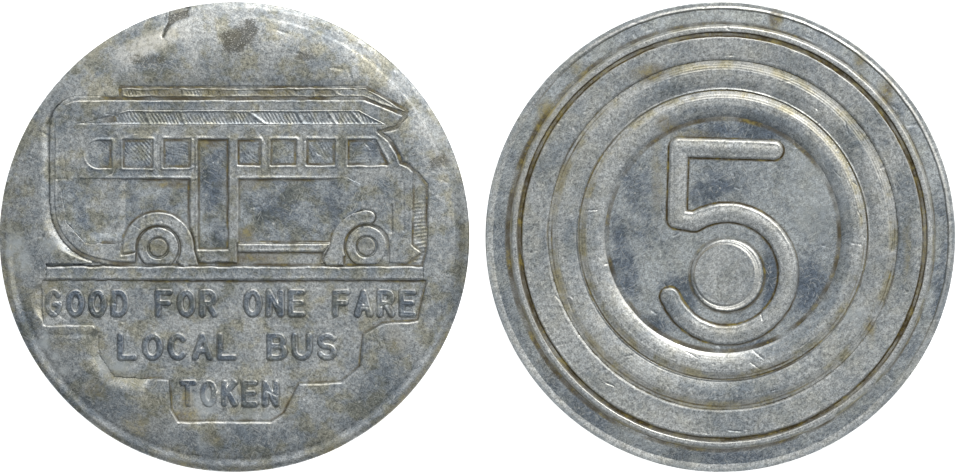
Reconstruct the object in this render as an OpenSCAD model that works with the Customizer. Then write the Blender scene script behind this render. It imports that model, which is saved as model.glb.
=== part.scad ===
// Struck metal transit token, lying flat with its numeral side up (+Z).
// Millimetres. The origin is at the centre of the underside, and +Y is the
// top of both designs. The underside carries a motor bus over a sunken legend
// panel, and the top carries the numeral 5 inside concentric rings.

/* [Token] */
// Diameter of the token over its edge
token_d = 26; // [22:0.5:30]
// Thickness over the highest relief of both sides
token_t = 1.8; // [1.4:0.1:2.6]
// Depth of the struck relief on each side
relief = 0.18; // [0.12:0.01:0.25]

/* [Bus side] */
// Radius at which the flat field of the bus side starts to roll over
field_r = 10.7; // [10.6:0.1:11.2]
// Height of the rounded shoulder between that field and the edge
shoulder_h = 0.42; // [0.3:0.01:0.5]
// Width of the strokes of the letters
letter_stroke = 0.38; // [0.28:0.01:0.42]
// Radius of the tyres
tyre_r = 1.15; // [1:0.01:1.18]

/* [Numeral side] */
// Width of the stroke of the numeral
numeral_stroke = 1.06; // [0.8:0.02:1.2]
// Radius of the round boss in the bowl of the numeral
boss_r = 2.06; // [1.6:0.02:2.3]
// Radius of the sunken centre field
centre_r = 6.5; // [6.3:0.05:6.7]
// Width of the raised lip at the edge
lip_w = 0.3; // [0.2:0.02:0.4]

/* [Hidden] */

$fn = 180;
metal = "#9ba4ab";
bright = "#b9bfc2";
patina = "#6f7d8b";
dirty = "#8d8a72";

// The designs are drawn for a 26 mm token and grow with the token.
k = token_d / 26;
edge_r = token_d / 2;

// Levels of the bus side, which is the underside. Z grows into the token.
floor_z = relief;
panel_t = relief / 6;
panel_z = floor_z - panel_t;
body_z = panel_t;
letter_z = panel_t / 2;
pane_t = panel_t * 1.4;

// Levels of the numeral side, which is the top.
top_z = token_t;
groove_z = token_t - relief;
ring_z = token_t - relief / 9;
centre_z = groove_z + panel_t;
band_z = groove_z + relief / 3.5;

// The rings of the numeral side sit a little off the middle of the blank.
strike = [0.15, 0.12];
// Each ring: its inner foot, inner crest, outer crest and outer foot. The outer
// flanks are long and gentle, and the inner ones short.
inner_ring_r = [centre_r, centre_r + 0.2, 7.43, 7.97];
middle_ring_r = [8.02, 8.2, 9.1, 9.62];
outer_ring_r = [9.67, 9.86, 10.92, 11.2];
// The bead: its inner circle keeps to the rings, its outer one to the edge.
bead_inner_r = [11.25, 11.4];
bead_outer_r = [11.84, 11.64];

// The wheels of the bus, and the mudguards round them.
rear_wheel = [-4.22, -0.6];
front_wheel = [7.3, -0.52];
hub_r = 0.58;
arch_r = 1.24;
guard_r = 2;
wheel_bottom = -1.52;

// Windows from the rear to the front: left, right, bottom and top of each.
windows = [
  [-8.23, -6.84, 3.85, 5.3],
  [-6.15, -4.56, 3.85, 5.35],
  [-3.91, -2.47, 3.88, 5.38],
  [0.2, 1.42, 4, 5.35],
  [2.02, 3.37, 4, 5.35],
  [4.01, 5.52, 4, 5.35],
  [6.28, 7.77, 4, 5.35]
];
driver_rake = 0.73;
door = [-2, -0.36, -0.67, 5.38];
sill_v = 3.18;
skirt_v = -0.3;

// The legend, and for each line its left end, baseline, width and height.
legend = ["GOOD FOR ONE FARE", "LOCAL BUS", "TOKEN"];
legend_box = [
  [-10.5, -4.45, 20.8, 1.6],
  [-6.5, -6.84, 12.4, 1.58],
  [-3.05, -9.42, 5.7, 1.55]
];

// Strokes of one letter, as polylines in a cell one unit wide and one high.
function glyph(c) =
  c == "A" ? [[[0, 0], [0.5, 1], [1, 0]], [[0.2, 0.35], [0.8, 0.35]]] :
  c == "B" ? [[[0, 0], [0, 1], [0.7, 1], [0.92, 0.86], [0.92, 0.66], [0.7, 0.52], [0, 0.52]],
              [[0.7, 0.52], [1, 0.38], [1, 0.14], [0.75, 0], [0, 0]]] :
  c == "C" ? [[[1, 0.78], [0.72, 1], [0.3, 1], [0, 0.72], [0, 0.28], [0.3, 0], [0.72, 0], [1, 0.22]]] :
  c == "D" ? [[[0, 0], [0, 1], [0.6, 1], [1, 0.7], [1, 0.3], [0.6, 0], [0, 0]]] :
  c == "E" ? [[[1, 1], [0, 1], [0, 0], [1, 0]], [[0, 0.52], [0.8, 0.52]]] :
  c == "F" ? [[[1, 1], [0, 1], [0, 0]], [[0, 0.52], [0.8, 0.52]]] :
  c == "G" ? [[[1, 0.8], [0.72, 1], [0.3, 1], [0, 0.72], [0, 0.28], [0.3, 0], [0.72, 0],
               [1, 0.22], [1, 0.48], [0.6, 0.48]]] :
  c == "K" ? [[[0, 0], [0, 1]], [[1, 1], [0, 0.42]], [[0.3, 0.6], [1, 0]]] :
  c == "L" ? [[[0, 1], [0, 0], [1, 0]]] :
  c == "N" ? [[[0, 0], [0, 1], [1, 0], [1, 1]]] :
  c == "O" ? [[[0.3, 1], [0, 0.72], [0, 0.28], [0.3, 0], [0.7, 0], [1, 0.28], [1, 0.72],
               [0.7, 1], [0.3, 1]]] :
  c == "R" ? [[[0, 0], [0, 1], [0.7, 1], [1, 0.86], [1, 0.62], [0.7, 0.48], [0, 0.48]],
              [[0.5, 0.48], [1, 0]]] :
  c == "S" ? [[[1, 0.84], [0.72, 1], [0.28, 1], [0, 0.84], [0, 0.64], [0.28, 0.52],
               [0.72, 0.48], [1, 0.36], [1, 0.16], [0.72, 0], [0.28, 0], [0, 0.16]]] :
  c == "T" ? [[[0, 1], [1, 1]], [[0.5, 1], [0.5, 0]]] :
  c == "U" ? [[[0, 1], [0, 0.28], [0.3, 0], [0.7, 0], [1, 0.28], [1, 1]]] :
  [];

function arc(centre, r, from, to, steps = 12) =
  [for (i = [0 : steps]) centre + r * [cos(from + (to - from) * i / steps),
                                       sin(from + (to - from) * i / steps)]];

// ---------------------------------------------------------------- outlines

module outline(points) {
  polygon(points * k);
}

module disc(centre, r) {
  translate(centre * k) circle(r = r * k);
}

module box2(b) {
  outline([[b[0], b[2]], [b[1], b[2]], [b[1], b[3]], [b[0], b[3]]]);
}

module soften(r) {
  offset(r = r * k, $fn = 24) offset(delta = -r * k) children();
}

// The bus from rear bumper to bonnet, with its canopy over the windscreen.
module bus_outline() {
  soften(0.06) outline(concat(
    arc([-8.6, 6.2], 1.4, 180, 90),
    [[7.2, 7.6], [9.4, 6.72], [8.9, 6.1], [7.9, 5.84], [8.54, 5.34], [9.03, 4.54],
     [9.18, 4.05], [9.58, 3.92], [9.9, 3.6], [9.87, 1.5], [9.82, -0.4], [10.38, -0.87],
     [9.52, -1.47], [-6.4, -1.42]],
    arc([-6.9, 1.8], 3.1, 255, 180)
  ));
}

module rail_outline() {
  outline([[-6.28, 7.72], [7.15, 7.72], [9.35, 6.85], [9.5, 6.98], [7.25, 8.25], [-6.28, 8.25]]);
}

// The sunken panel that the bus stands in. It follows the bus and its roof rail
// closely, and is wider ahead of the bonnet.
module bus_pocket() {
  offset(delta = 0.12 * k) bus_outline();
  offset(delta = 0.05 * k) rail_outline();
  outline([[9.6, 3.8], [10.15, 3.55], [10.65, 2.9], [10.65, -0.6], [10.4, -1.62], [9.3, -1.62]]);
  box2([-6.4, 9.6, -1.62, -1.4]);
}

// The sunken panel under the letters, stepped in twice towards the bottom.
module legend_pocket() {
  soften(0.25) outline([
    [-10.6, -2.2], [10.6, -2.2], [10.15, -4.62], [8.2, -4.78], [7.1, -5.37],
    [6.94, -7.14], [5.89, -8.02], [3.55, -8.1], [2.74, -9.76], [2, -10.2],
    [-3.1, -10.2], [-3.51, -9.54], [-3.62, -7.88], [-6.61, -7.65], [-7.39, -6.53],
    [-7.46, -5.15], [-7.83, -4.84], [-10.5, -4.84]
  ]);
}

module ground_outline() {
  box2([-10.6, 10.6, -2.4, -1.6]);
}

module window_outline(i) {
  w = windows[i];
  if (i == 0)
    outline(concat(arc([-7.5, 4.575], 0.725, 90, 270), [[w[1], w[2]], [w[1], w[3]]]));
  else if (i == 6)
    outline([[w[0], w[2]], [w[1] + driver_rake, w[2]], [w[1], w[3]], [w[0], w[3]]]);
  else
    box2(w);
}

module rear_side_outline() {
  difference() {
    outline(concat(
      arc([-8.6, 2.3], 0.88, 180, 90),
      [[-2.51, sill_v], [-2.51, skirt_v], [-8.2, skirt_v], [-9.2, 0.8]]
    ));
    disc(rear_wheel, guard_r);
  }
}

module front_side_outline() {
  difference() {
    outline([[0.24, skirt_v], [5.5, skirt_v], [5.62, 0.5], [6, 1.1], [6.9, 1.55],
             [6.9, 2.9], [6.3, sill_v], [0.24, sill_v]]);
    disc(front_wheel, guard_r);
  }
}

// The gap under the running board, down to the ground line.
module step_gap_outline() {
  outline([[0.15, -1.6], [4.75, -1.6], [4.9, -0.85], [0.15, -0.85]]);
}

// A mudguard band round a wheel, from one angle to another, with a tail.
rear_guard_arc = [-38, 190];
rear_tail = [rear_wheel + [1, 0.9], rear_wheel + [1.6, 1.2], [-2.25, -0.6], [-1.95, -1.6],
             [-3.05, -1.6], [-3.05, -0.9]];
front_guard_arc = [76, 205];
front_tail = [front_wheel + [-1.55, 0.9], front_wheel + [-1.3, -0.4], [6.05, -1.6], [5.1, -1.6],
              [4.85, -1.3]];

module guard_shape(wheel, span, tail) {
  intersection() {
    disc(wheel, guard_r);
    outline(concat([wheel], arc(wheel, guard_r * 1.3, span[0], span[1])));
  }
  outline(tail);
}

module guard_outline(wheel, span, tail) {
  soften(0.1) difference() {
    guard_shape(wheel, span, tail);
    disc(wheel, arch_r);
    ground_outline();
  }
}

// What the bus body leaves open for a wheel and its mudguard.
module wheel_cut(wheel, span, tail) {
  guard_shape(wheel, span, tail);
  disc(wheel, arch_r);
  outline([wheel + [-arch_r, 0], wheel + [arch_r, 0], wheel + [arch_r, -2], wheel + [-arch_r, -2]]);
}

module rear_wheel_cut() {
  wheel_cut(rear_wheel, rear_guard_arc, rear_tail);
}

module front_wheel_cut() {
  wheel_cut(front_wheel, front_guard_arc, front_tail);
}

module letter(c, w, h) {
  for (line = glyph(c), i = [0 : len(line) - 2])
    stroke(line[i], line[i + 1], w, h);
}

// One straight stroke of a letter, with square ends.
module stroke(a, b, w, h) {
  from = [a[0] * w, a[1] * h];
  to = [b[0] * w, b[1] * h];
  run = norm(to - from);
  translate(from * k)
    rotate(atan2(to[1] - from[1], to[0] - from[0]))
      translate([-letter_stroke * k / 2, -letter_stroke * k / 2])
        square([(run + letter_stroke) * k, letter_stroke * k]);
}

// A line of letters spread evenly over its box.
module legend_line_outline(i) {
  line = legend[i];
  at = legend_box[i];
  pitch = at[2] / len(line);
  inset = letter_stroke / 2;
  offset(delta = 0.01)
    for (n = [0 : len(line) - 1])
      translate([at[0] + n * pitch + inset, at[1] + inset] * k)
        letter(line[n], pitch * 0.86 - letter_stroke, at[3] - letter_stroke);
}

// The numeral 5: bar, upright and an open bowl with a round end.
module five_outline() {
  bowl = [0.36, -2.04];
  bowl_r = 3.4;
  half = numeral_stroke / 2;
  neck_at = 118;
  end_at = 202;
  bar_end = [2.95, 4.79];
  soften(0.2) union() {
    outline([[-2.78, 5.47], bar_end + [0, half], bar_end - [0, half], [-1.85, 4.45], [-1.9, 1.3],
             bowl + (bowl_r + half - 0.02) * [cos(neck_at - 4), sin(neck_at - 4)],
             bowl + (bowl_r - half + 0.02) * [cos(neck_at - 4), sin(neck_at - 4)],
             [-2.92, 0.45]]);
    disc(bar_end, half, $fn = 48);
    difference() {
      disc(bowl, bowl_r + half, $fn = 120);
      disc(bowl, bowl_r - half, $fn = 120);
      outline(concat([bowl], arc(bowl, 9, neck_at, end_at)));
    }
    disc(bowl + bowl_r * [cos(end_at), sin(end_at)], half, $fn = 48);
  }
}

// ------------------------------------------------------------------ solids

// Draws an outline on the underside, from z = low up to z = high.
module on_bus_side(low, high) {
  translate([0, 0, low])
    linear_extrude(high - low)
      mirror([1, 0])
        children();
}

module on_numeral_side(low, high) {
  translate([0, 0, low]) linear_extrude(high - low) children();
}

// A raised ring with a short inner flank and a long outer one.
module ring(r) {
  translate(strike * k) rotate_extrude()
    polygon([[r[0] * k, groove_z], [r[3] * k, groove_z], [r[2] * k, ring_z], [r[1] * k, ring_z],
             [r[0] * k, groove_z + 0.03]]);
}

// The planchet: the plain disc of metal between the two struck sides.
module blank() {
  step_r = edge_r - 0.75 * k;
  color(metal) rotate_extrude()
    polygon([[0, floor_z], [step_r, floor_z], [edge_r - 0.22 * k, floor_z + 0.1],
             [edge_r, shoulder_h + 0.02], [edge_r, groove_z], [0, groove_z]]);
}

// The plain ground of the bus side, rolled over towards the edge.
module bus_side_field() {
  roll_r = edge_r - 0.75 * k;
  color(metal) difference() {
    rotate_extrude()
      polygon([[0, 0], [field_r * k, 0], [(field_r + 0.75) * k, floor_z * 0.3],
               [roll_r, floor_z], [0, floor_z]]);
    on_bus_side(-1, 1) bus_pocket();
    on_bus_side(-1, 1) legend_pocket();
    on_bus_side(-1, 1) ground_outline();
  }
}

module bus_panel() {
  color(metal) on_bus_side(panel_z, floor_z) difference() {
    bus_pocket();
    ground_outline();
  }
}

module legend_panel() {
  color(metal) on_bus_side(panel_z, floor_z) difference() {
    legend_pocket();
    ground_outline();
  }
}

module ground_line() {
  color(bright) on_bus_side(0, floor_z) ground_outline();
}

module bus_body() {
  color(metal) on_bus_side(body_z, panel_z) difference() {
    bus_outline();
    for (i = [0 : len(windows) - 1]) window_outline(i);
    box2(door);
    rear_side_outline();
    front_side_outline();
    running_board_outline();
    step_gap_outline();
    rear_wheel_cut();
    front_wheel_cut();
    ground_outline();
  }
}

module roof_rail() {
  color(dirty) on_bus_side(0, panel_z) rail_outline();
}

module letter_board() {
  color(bright) on_bus_side(0, body_z)
    outline([[-9.2, 6.15], [8.6, 6.15], [6.9, 7.05], [-5.94, 7.05]]);
}

module window(i) {
  color(patina) on_bus_side(panel_z - pane_t, panel_z) window_outline(i);
}

module door_panel() {
  color(patina) on_bus_side(panel_z - pane_t / 2, panel_z) box2(door);
}

module rear_side_panel() {
  color(patina) on_bus_side(panel_z - pane_t, panel_z) rear_side_outline();
}

module front_side_panel() {
  color(patina) on_bus_side(panel_z - pane_t, panel_z) front_side_outline();
}

module mudguard(wheel, span, tail) {
  color(bright) on_bus_side(letter_z, panel_z) guard_outline(wheel, span, tail);
}

module tyre(wheel) {
  color(metal) on_bus_side(letter_z, panel_z) difference() {
    disc(wheel, tyre_r);
    disc(wheel, hub_r);
    outline([wheel + [-2, -2], wheel + [2, -2], [wheel[0] + 2, wheel_bottom],
             [wheel[0] - 2, wheel_bottom]]);
  }
}

module hub(wheel) {
  color(bright) on_bus_side(body_z * 1.5, panel_z) disc(wheel, hub_r);
}

module running_board_outline() {
  outline([[0.15, -0.85], [4.9, -0.85], [5.35, -0.35], [0.15, -0.35]]);
}

module running_board() {
  color(bright) on_bus_side(letter_z, panel_z) difference() {
    running_board_outline();
    front_wheel_cut();
  }
}

module legend_line(i) {
  color(patina) on_bus_side(letter_z, panel_z) legend_line_outline(i);
}

module centre_field() {
  color(patina) on_numeral_side(groove_z, centre_z) disc(strike, centre_r);
}

module inner_ring() {
  color(bright) ring(inner_ring_r);
}

module middle_ring() {
  color(metal) ring(middle_ring_r);
}

module outer_ring() {
  color(metal) ring(outer_ring_r);
}

module bead_ring() {
  color(bright) difference() {
    translate([0, 0, groove_z])
      cylinder(h = relief, r1 = bead_outer_r[0] * k, r2 = bead_outer_r[1] * k);
    translate([strike[0] * k, strike[1] * k, groove_z - 0.01])
      cylinder(h = relief + 0.02, r1 = bead_inner_r[0] * k, r2 = bead_inner_r[1] * k);
  }
}

module rim_band() {
  color(patina) rotate_extrude()
    polygon([[bead_outer_r[0] * k, groove_z], [edge_r - lip_w * k, groove_z],
             [edge_r - lip_w * k, band_z], [bead_outer_r[0] * k, band_z]]);
}

module edge_lip() {
  color(bright) rotate_extrude()
    polygon([[edge_r - lip_w * k, groove_z], [edge_r, groove_z], [edge_r, top_z - 0.08],
             [edge_r - 0.08, top_z], [edge_r - (lip_w - 0.05) * k, top_z],
             [edge_r - lip_w * k, top_z - 0.05]]);
}

module numeral_five() {
  color(bright) on_numeral_side(centre_z, top_z) five_outline();
}

module target_boss() {
  base = boss_r * k;
  height = top_z - centre_z;
  color(bright) translate([0.37 * k, -2.11 * k, centre_z])
    rotate_extrude()
      polygon([[0, 0], [base, 0], [base, height * 0.7], [base - 0.4 * k, height], [0, height]]);
}

blank();
bus_side_field();
bus_panel();
legend_panel();
ground_line();
bus_body();
roof_rail();
letter_board();
window(0);  // rear_window
window(1);  // saloon_window_1
window(2);  // saloon_window_2
window(3);  // saloon_window_3
window(4);  // saloon_window_4
window(5);  // saloon_window_5
window(6);  // driver_window
door_panel();
rear_side_panel();
front_side_panel();
mudguard(rear_wheel, rear_guard_arc, rear_tail);  // rear_mudguard
tyre(rear_wheel);  // rear_tyre
hub(rear_wheel);  // rear_hub
mudguard(front_wheel, front_guard_arc, front_tail);  // front_mudguard
tyre(front_wheel);  // front_tyre
hub(front_wheel);  // front_hub
running_board();
legend_line(0);  // legend_line_1
legend_line(1);  // legend_line_2
legend_line(2);  // legend_line_3
centre_field();
inner_ring();
middle_ring();
outer_ring();
bead_ring();
rim_band();
edge_lip();
numeral_five();
target_boss();
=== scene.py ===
"""A worn struck transit token: a bus side and a numeral side round one blank.

Shapes are worked out in millimetres. On either side a point of the design is
(u, v), with u to the right and v up as one looks at that side, and e is its
elevation above the blank. The token lies with its numeral side up.
"""
import math

import bmesh
import bpy
import numpy as np
from mathutils import Matrix, Vector

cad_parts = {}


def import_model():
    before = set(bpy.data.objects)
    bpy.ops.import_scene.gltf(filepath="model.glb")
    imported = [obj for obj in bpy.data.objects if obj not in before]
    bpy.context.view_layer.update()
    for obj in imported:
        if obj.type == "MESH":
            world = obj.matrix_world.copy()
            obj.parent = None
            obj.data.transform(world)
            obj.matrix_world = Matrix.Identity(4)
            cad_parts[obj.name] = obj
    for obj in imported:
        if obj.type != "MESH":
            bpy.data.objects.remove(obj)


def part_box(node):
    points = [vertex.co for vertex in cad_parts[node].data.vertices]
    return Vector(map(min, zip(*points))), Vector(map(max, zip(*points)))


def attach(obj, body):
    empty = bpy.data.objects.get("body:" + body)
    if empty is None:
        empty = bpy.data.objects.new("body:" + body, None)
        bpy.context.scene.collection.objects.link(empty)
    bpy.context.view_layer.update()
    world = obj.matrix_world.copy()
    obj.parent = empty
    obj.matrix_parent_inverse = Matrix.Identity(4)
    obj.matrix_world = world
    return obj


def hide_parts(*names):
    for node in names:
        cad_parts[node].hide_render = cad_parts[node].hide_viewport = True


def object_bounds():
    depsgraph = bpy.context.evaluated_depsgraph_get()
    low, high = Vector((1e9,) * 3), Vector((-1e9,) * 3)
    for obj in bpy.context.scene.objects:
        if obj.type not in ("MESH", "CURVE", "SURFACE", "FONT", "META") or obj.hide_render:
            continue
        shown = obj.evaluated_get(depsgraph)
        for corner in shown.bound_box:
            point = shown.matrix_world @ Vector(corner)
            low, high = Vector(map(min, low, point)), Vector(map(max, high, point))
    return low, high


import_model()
cad_low, cad_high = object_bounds()

MM = 0.001
EDGE_R = (cad_high[0] - cad_low[0]) / 2 / MM
THICK = (cad_high[2] - cad_low[2]) / MM


def level_of(node, end):
    """The z of the lower (0) or upper (1) face of a CAD node, in mm."""
    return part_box(node)[end][2] / MM


BUS_FACE = level_of("bus_panel", 1)
NUMERAL_FACE = level_of("blank", 1)
RELIEF = BUS_FACE
PANEL_E = level_of("centre_field", 1) - NUMERAL_FACE
LETTER_E = BUS_FACE - level_of("legend_line_1", 0)
BODY_E = BUS_FACE - level_of("bus_body", 0)
PANE_E = BUS_FACE - level_of("saloon_window_1", 0)
BAND_E = level_of("rim_band", 1) - NUMERAL_FACE
RING_E = level_of("outer_ring", 1) - NUMERAL_FACE
SINK = 0.05
BURIED_E = -0.12


# ------------------------------------------------------------------ numbers

def smooth(t):
    """0 to 1 with an even start and end."""
    t = np.clip(t, 0, 1)
    return t * t * (3 - 2 * t)


def past(x, start, over):
    """0 up to start, and then smoothly to 1 over this many mm."""
    return smooth((x - start) / over)


def before(x, end, over):
    """0 from end on, and 1 where x is this many mm or more below it."""
    return smooth((end - x) / over)


def noise(u, v, cell, seed):
    """Smooth random heights from -1 to 1, one knot every cell mm."""
    knots = np.random.default_rng(seed).uniform(-1, 1, (97, 97))
    x = u / cell + 1000.37
    y = v / cell + 1000.71
    i, j = np.floor(x).astype(int), np.floor(y).astype(int)
    fx, fy = smooth(x - i), smooth(y - j)
    i, j, i2, j2 = i % 97, j % 97, (i + 1) % 97, (j + 1) % 97
    low = knots[i, j] * (1 - fx) + knots[i2, j] * fx
    high = knots[i, j2] * (1 - fx) + knots[i2, j2] * fx
    return low * (1 - fy) + high * fy


def cloud(u, v, cell, seed, octaves=4):
    """Several layers of noise, each half the size of the last."""
    total = 0
    for n in range(octaves):
        total = total + noise(u, v, cell / 2 ** n, seed + n) * 0.5 ** n
    return total / (2 - 0.5 ** (octaves - 1))


# Signed distances in mm, negative inside the shape.

def sd_disc(u, v, centre, r):
    return np.hypot(u - centre[0], v - centre[1]) - r


def sd_ring(u, v, inner, outer):
    r = np.hypot(u, v)
    return np.maximum(inner - r, r - outer)


def sd_segment(u, v, a, b):
    du, dv = b[0] - a[0], b[1] - a[1]
    t = np.clip(((u - a[0]) * du + (v - a[1]) * dv) / (du * du + dv * dv + 1e-12), 0, 1)
    return np.hypot(u - a[0] - t * du, v - a[1] - t * dv)


def sd_line(u, v, points):
    """Distance to a line through several points."""
    return np.minimum.reduce([sd_segment(u, v, a, b) for a, b in zip(points, points[1:])])


def sd_polygon(u, v, points, round_r=0.0):
    """A polygon whose corners are rounded by round_r, and grows by as much."""
    distance = sd_line(u, v, list(points) + [points[0]])
    inside = np.zeros(u.shape, bool)
    for (au, av), (bu, bv) in zip(points, list(points[1:]) + [points[0]]):
        crosses = (av > v) != (bv > v)
        at = au + (v - av) * (bu - au) / (bv - av if bv != av else 1e-12)
        inside ^= crosses & (u < at)
    return np.where(inside, -distance, distance) - round_r


def corners(left, right, low, high):
    return [(left, low), (right, low), (right, high), (left, high)]


def sd_box(u, v, box):
    return sd_polygon(u, v, corners(*box))


def around(centre, half):
    """A square box round a point."""
    return centre[0] - half, centre[0] + half, centre[1] - half, centre[1] + half


def bend(cu, cv, ru, rv, start, stop, steps=10):
    """Points along an elliptic arc, angles in degrees."""
    angles = np.radians(np.linspace(start, stop, steps + 1))
    return [(cu + ru * math.cos(a), cv + rv * math.sin(a)) for a in angles]


# ------------------------------------------------------------------ lattices

class Lattice:
    """Rows and columns of design points, and whether the columns close up."""

    def __init__(self, u, v, wraps):
        self.u, self.v, self.wraps = u, v, wraps


def square_lattice(box, step):
    """Points step mm apart over a box."""
    left, right, low, high = box
    u, v = np.meshgrid(np.arange(left, right + step, step),
                       np.arange(low, high + step, step), indexing="ij")
    return Lattice(u, v, False)


def round_lattice(radii, steps, centre=(0, 0)):
    """Points on circles, steps of them to the turn."""
    turn = np.arange(steps) * 2 * math.pi / steps
    r, a = np.meshgrid(radii, turn, indexing="ij")
    return Lattice(centre[0] + r * np.cos(a), centre[1] + r * np.sin(a), True)


def whole_cells(keep, wraps):
    """The cells whose four corners are kept, with no two meeting at one corner only."""
    right = np.roll(keep, -1, 1) if wraps else keep[:, 1:]
    left = keep if wraps else keep[:, :-1]
    cells = left[:-1] & left[1:] & right[:-1] & right[1:]
    for _ in range(3):
        nxt = np.roll(cells, -1, 1) if wraps else np.pad(cells[:, 1:], ((0, 0), (0, 1)))
        down, down_nxt = np.pad(cells[1:], ((0, 1), (0, 0))), np.pad(nxt[1:], ((0, 1), (0, 0)))
        pinch = (cells & down_nxt & ~nxt & ~down)
        other = (nxt & down & ~cells & ~down_nxt)
        cells = cells & ~pinch
        shifted = np.roll(other, 1, 1) if wraps else np.pad(other[:, :-1], ((0, 0), (1, 0)))
        cells = cells & ~shifted
    return cells


def place(u, v, e, side):
    """Design coordinates to the token's own frame, in metres."""
    if side == "bus":
        return np.stack([-u, v, BUS_FACE - e], -1) * MM
    return np.stack([u, v, NUMERAL_FACE + e], -1) * MM


def quad_mesh(name, points, faces):
    """A mesh of points and of faces with four corners each."""
    mesh = bpy.data.meshes.new(name)
    mesh.vertices.add(len(points))
    mesh.vertices.foreach_set("co", points.ravel())
    mesh.loops.add(faces.size)
    mesh.loops.foreach_set("vertex_index", faces.ravel())
    mesh.polygons.add(len(faces))
    mesh.polygons.foreach_set("loop_start", np.arange(len(faces)) * 4)
    mesh.update(calc_edges=True)
    return mesh


def add_look(mesh, look, values):
    """Gives each vertex its value of one look."""
    layer = mesh.attributes.new(look, "FLOAT", "POINT")
    layer.data.foreach_set("value", values)


def relief_mesh(name, lattice, e, keep, side, looks, bottom=BURIED_E):
    """A closed mesh: the relief on top, upright walls and a flat back."""
    rows, columns = lattice.u.shape
    cells = whole_cells(keep, lattice.wraps)
    i, j = np.nonzero(cells)
    j2 = (j + 1) % columns
    corner = np.stack([i * columns + j, (i + 1) * columns + j,
                       (i + 1) * columns + j2, i * columns + j2], 1)
    used, flat = np.unique(corner, return_inverse=True)
    quads = flat.reshape(-1, 4)
    top = place(lattice.u.ravel()[used], lattice.v.ravel()[used], e.ravel()[used], side)

    # An edge used by one quad only is on the rim, where the wall goes down.
    ends = np.concatenate([quads, np.roll(quads, -1, 1)], 0).reshape(2, -1).T
    key = np.sort(ends, 1)
    _, first, count = np.unique(key[:, 0] * len(used) + key[:, 1],
                                return_index=True, return_counts=True)
    rim = ends[first[count == 1]]
    rim_points, rim_flat = np.unique(rim, return_inverse=True)
    below = rim_flat.reshape(-1, 2) + len(used)
    back = top[rim_points].copy()
    back[:, 2] = place(0.0, 0.0, bottom, side)[2]
    walls = np.stack([rim[:, 1], rim[:, 0], below[:, 0], below[:, 1]], 1)

    mesh = quad_mesh(name, np.concatenate([top, back]), np.concatenate([quads, walls]))
    for look, values in looks.items():
        flat_values = np.broadcast_to(values, lattice.u.shape).ravel()[used]
        add_look(mesh, look, np.concatenate([flat_values, flat_values[rim_points]]))
    close_back(mesh)
    return mesh


def close_back(mesh):
    """Fills the open back and turns every face outwards."""
    bm = bmesh.new()
    bm.from_mesh(mesh)
    open_edges = [edge for edge in bm.edges if edge.is_boundary]
    bmesh.ops.triangle_fill(bm, edges=open_edges, use_beauty=False)
    bmesh.ops.recalc_face_normals(bm, faces=bm.faces)
    for face in bm.faces:
        face.smooth = True
    bm.to_mesh(mesh)
    bm.free()


# ------------------------------------------------------------------ wear

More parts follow.
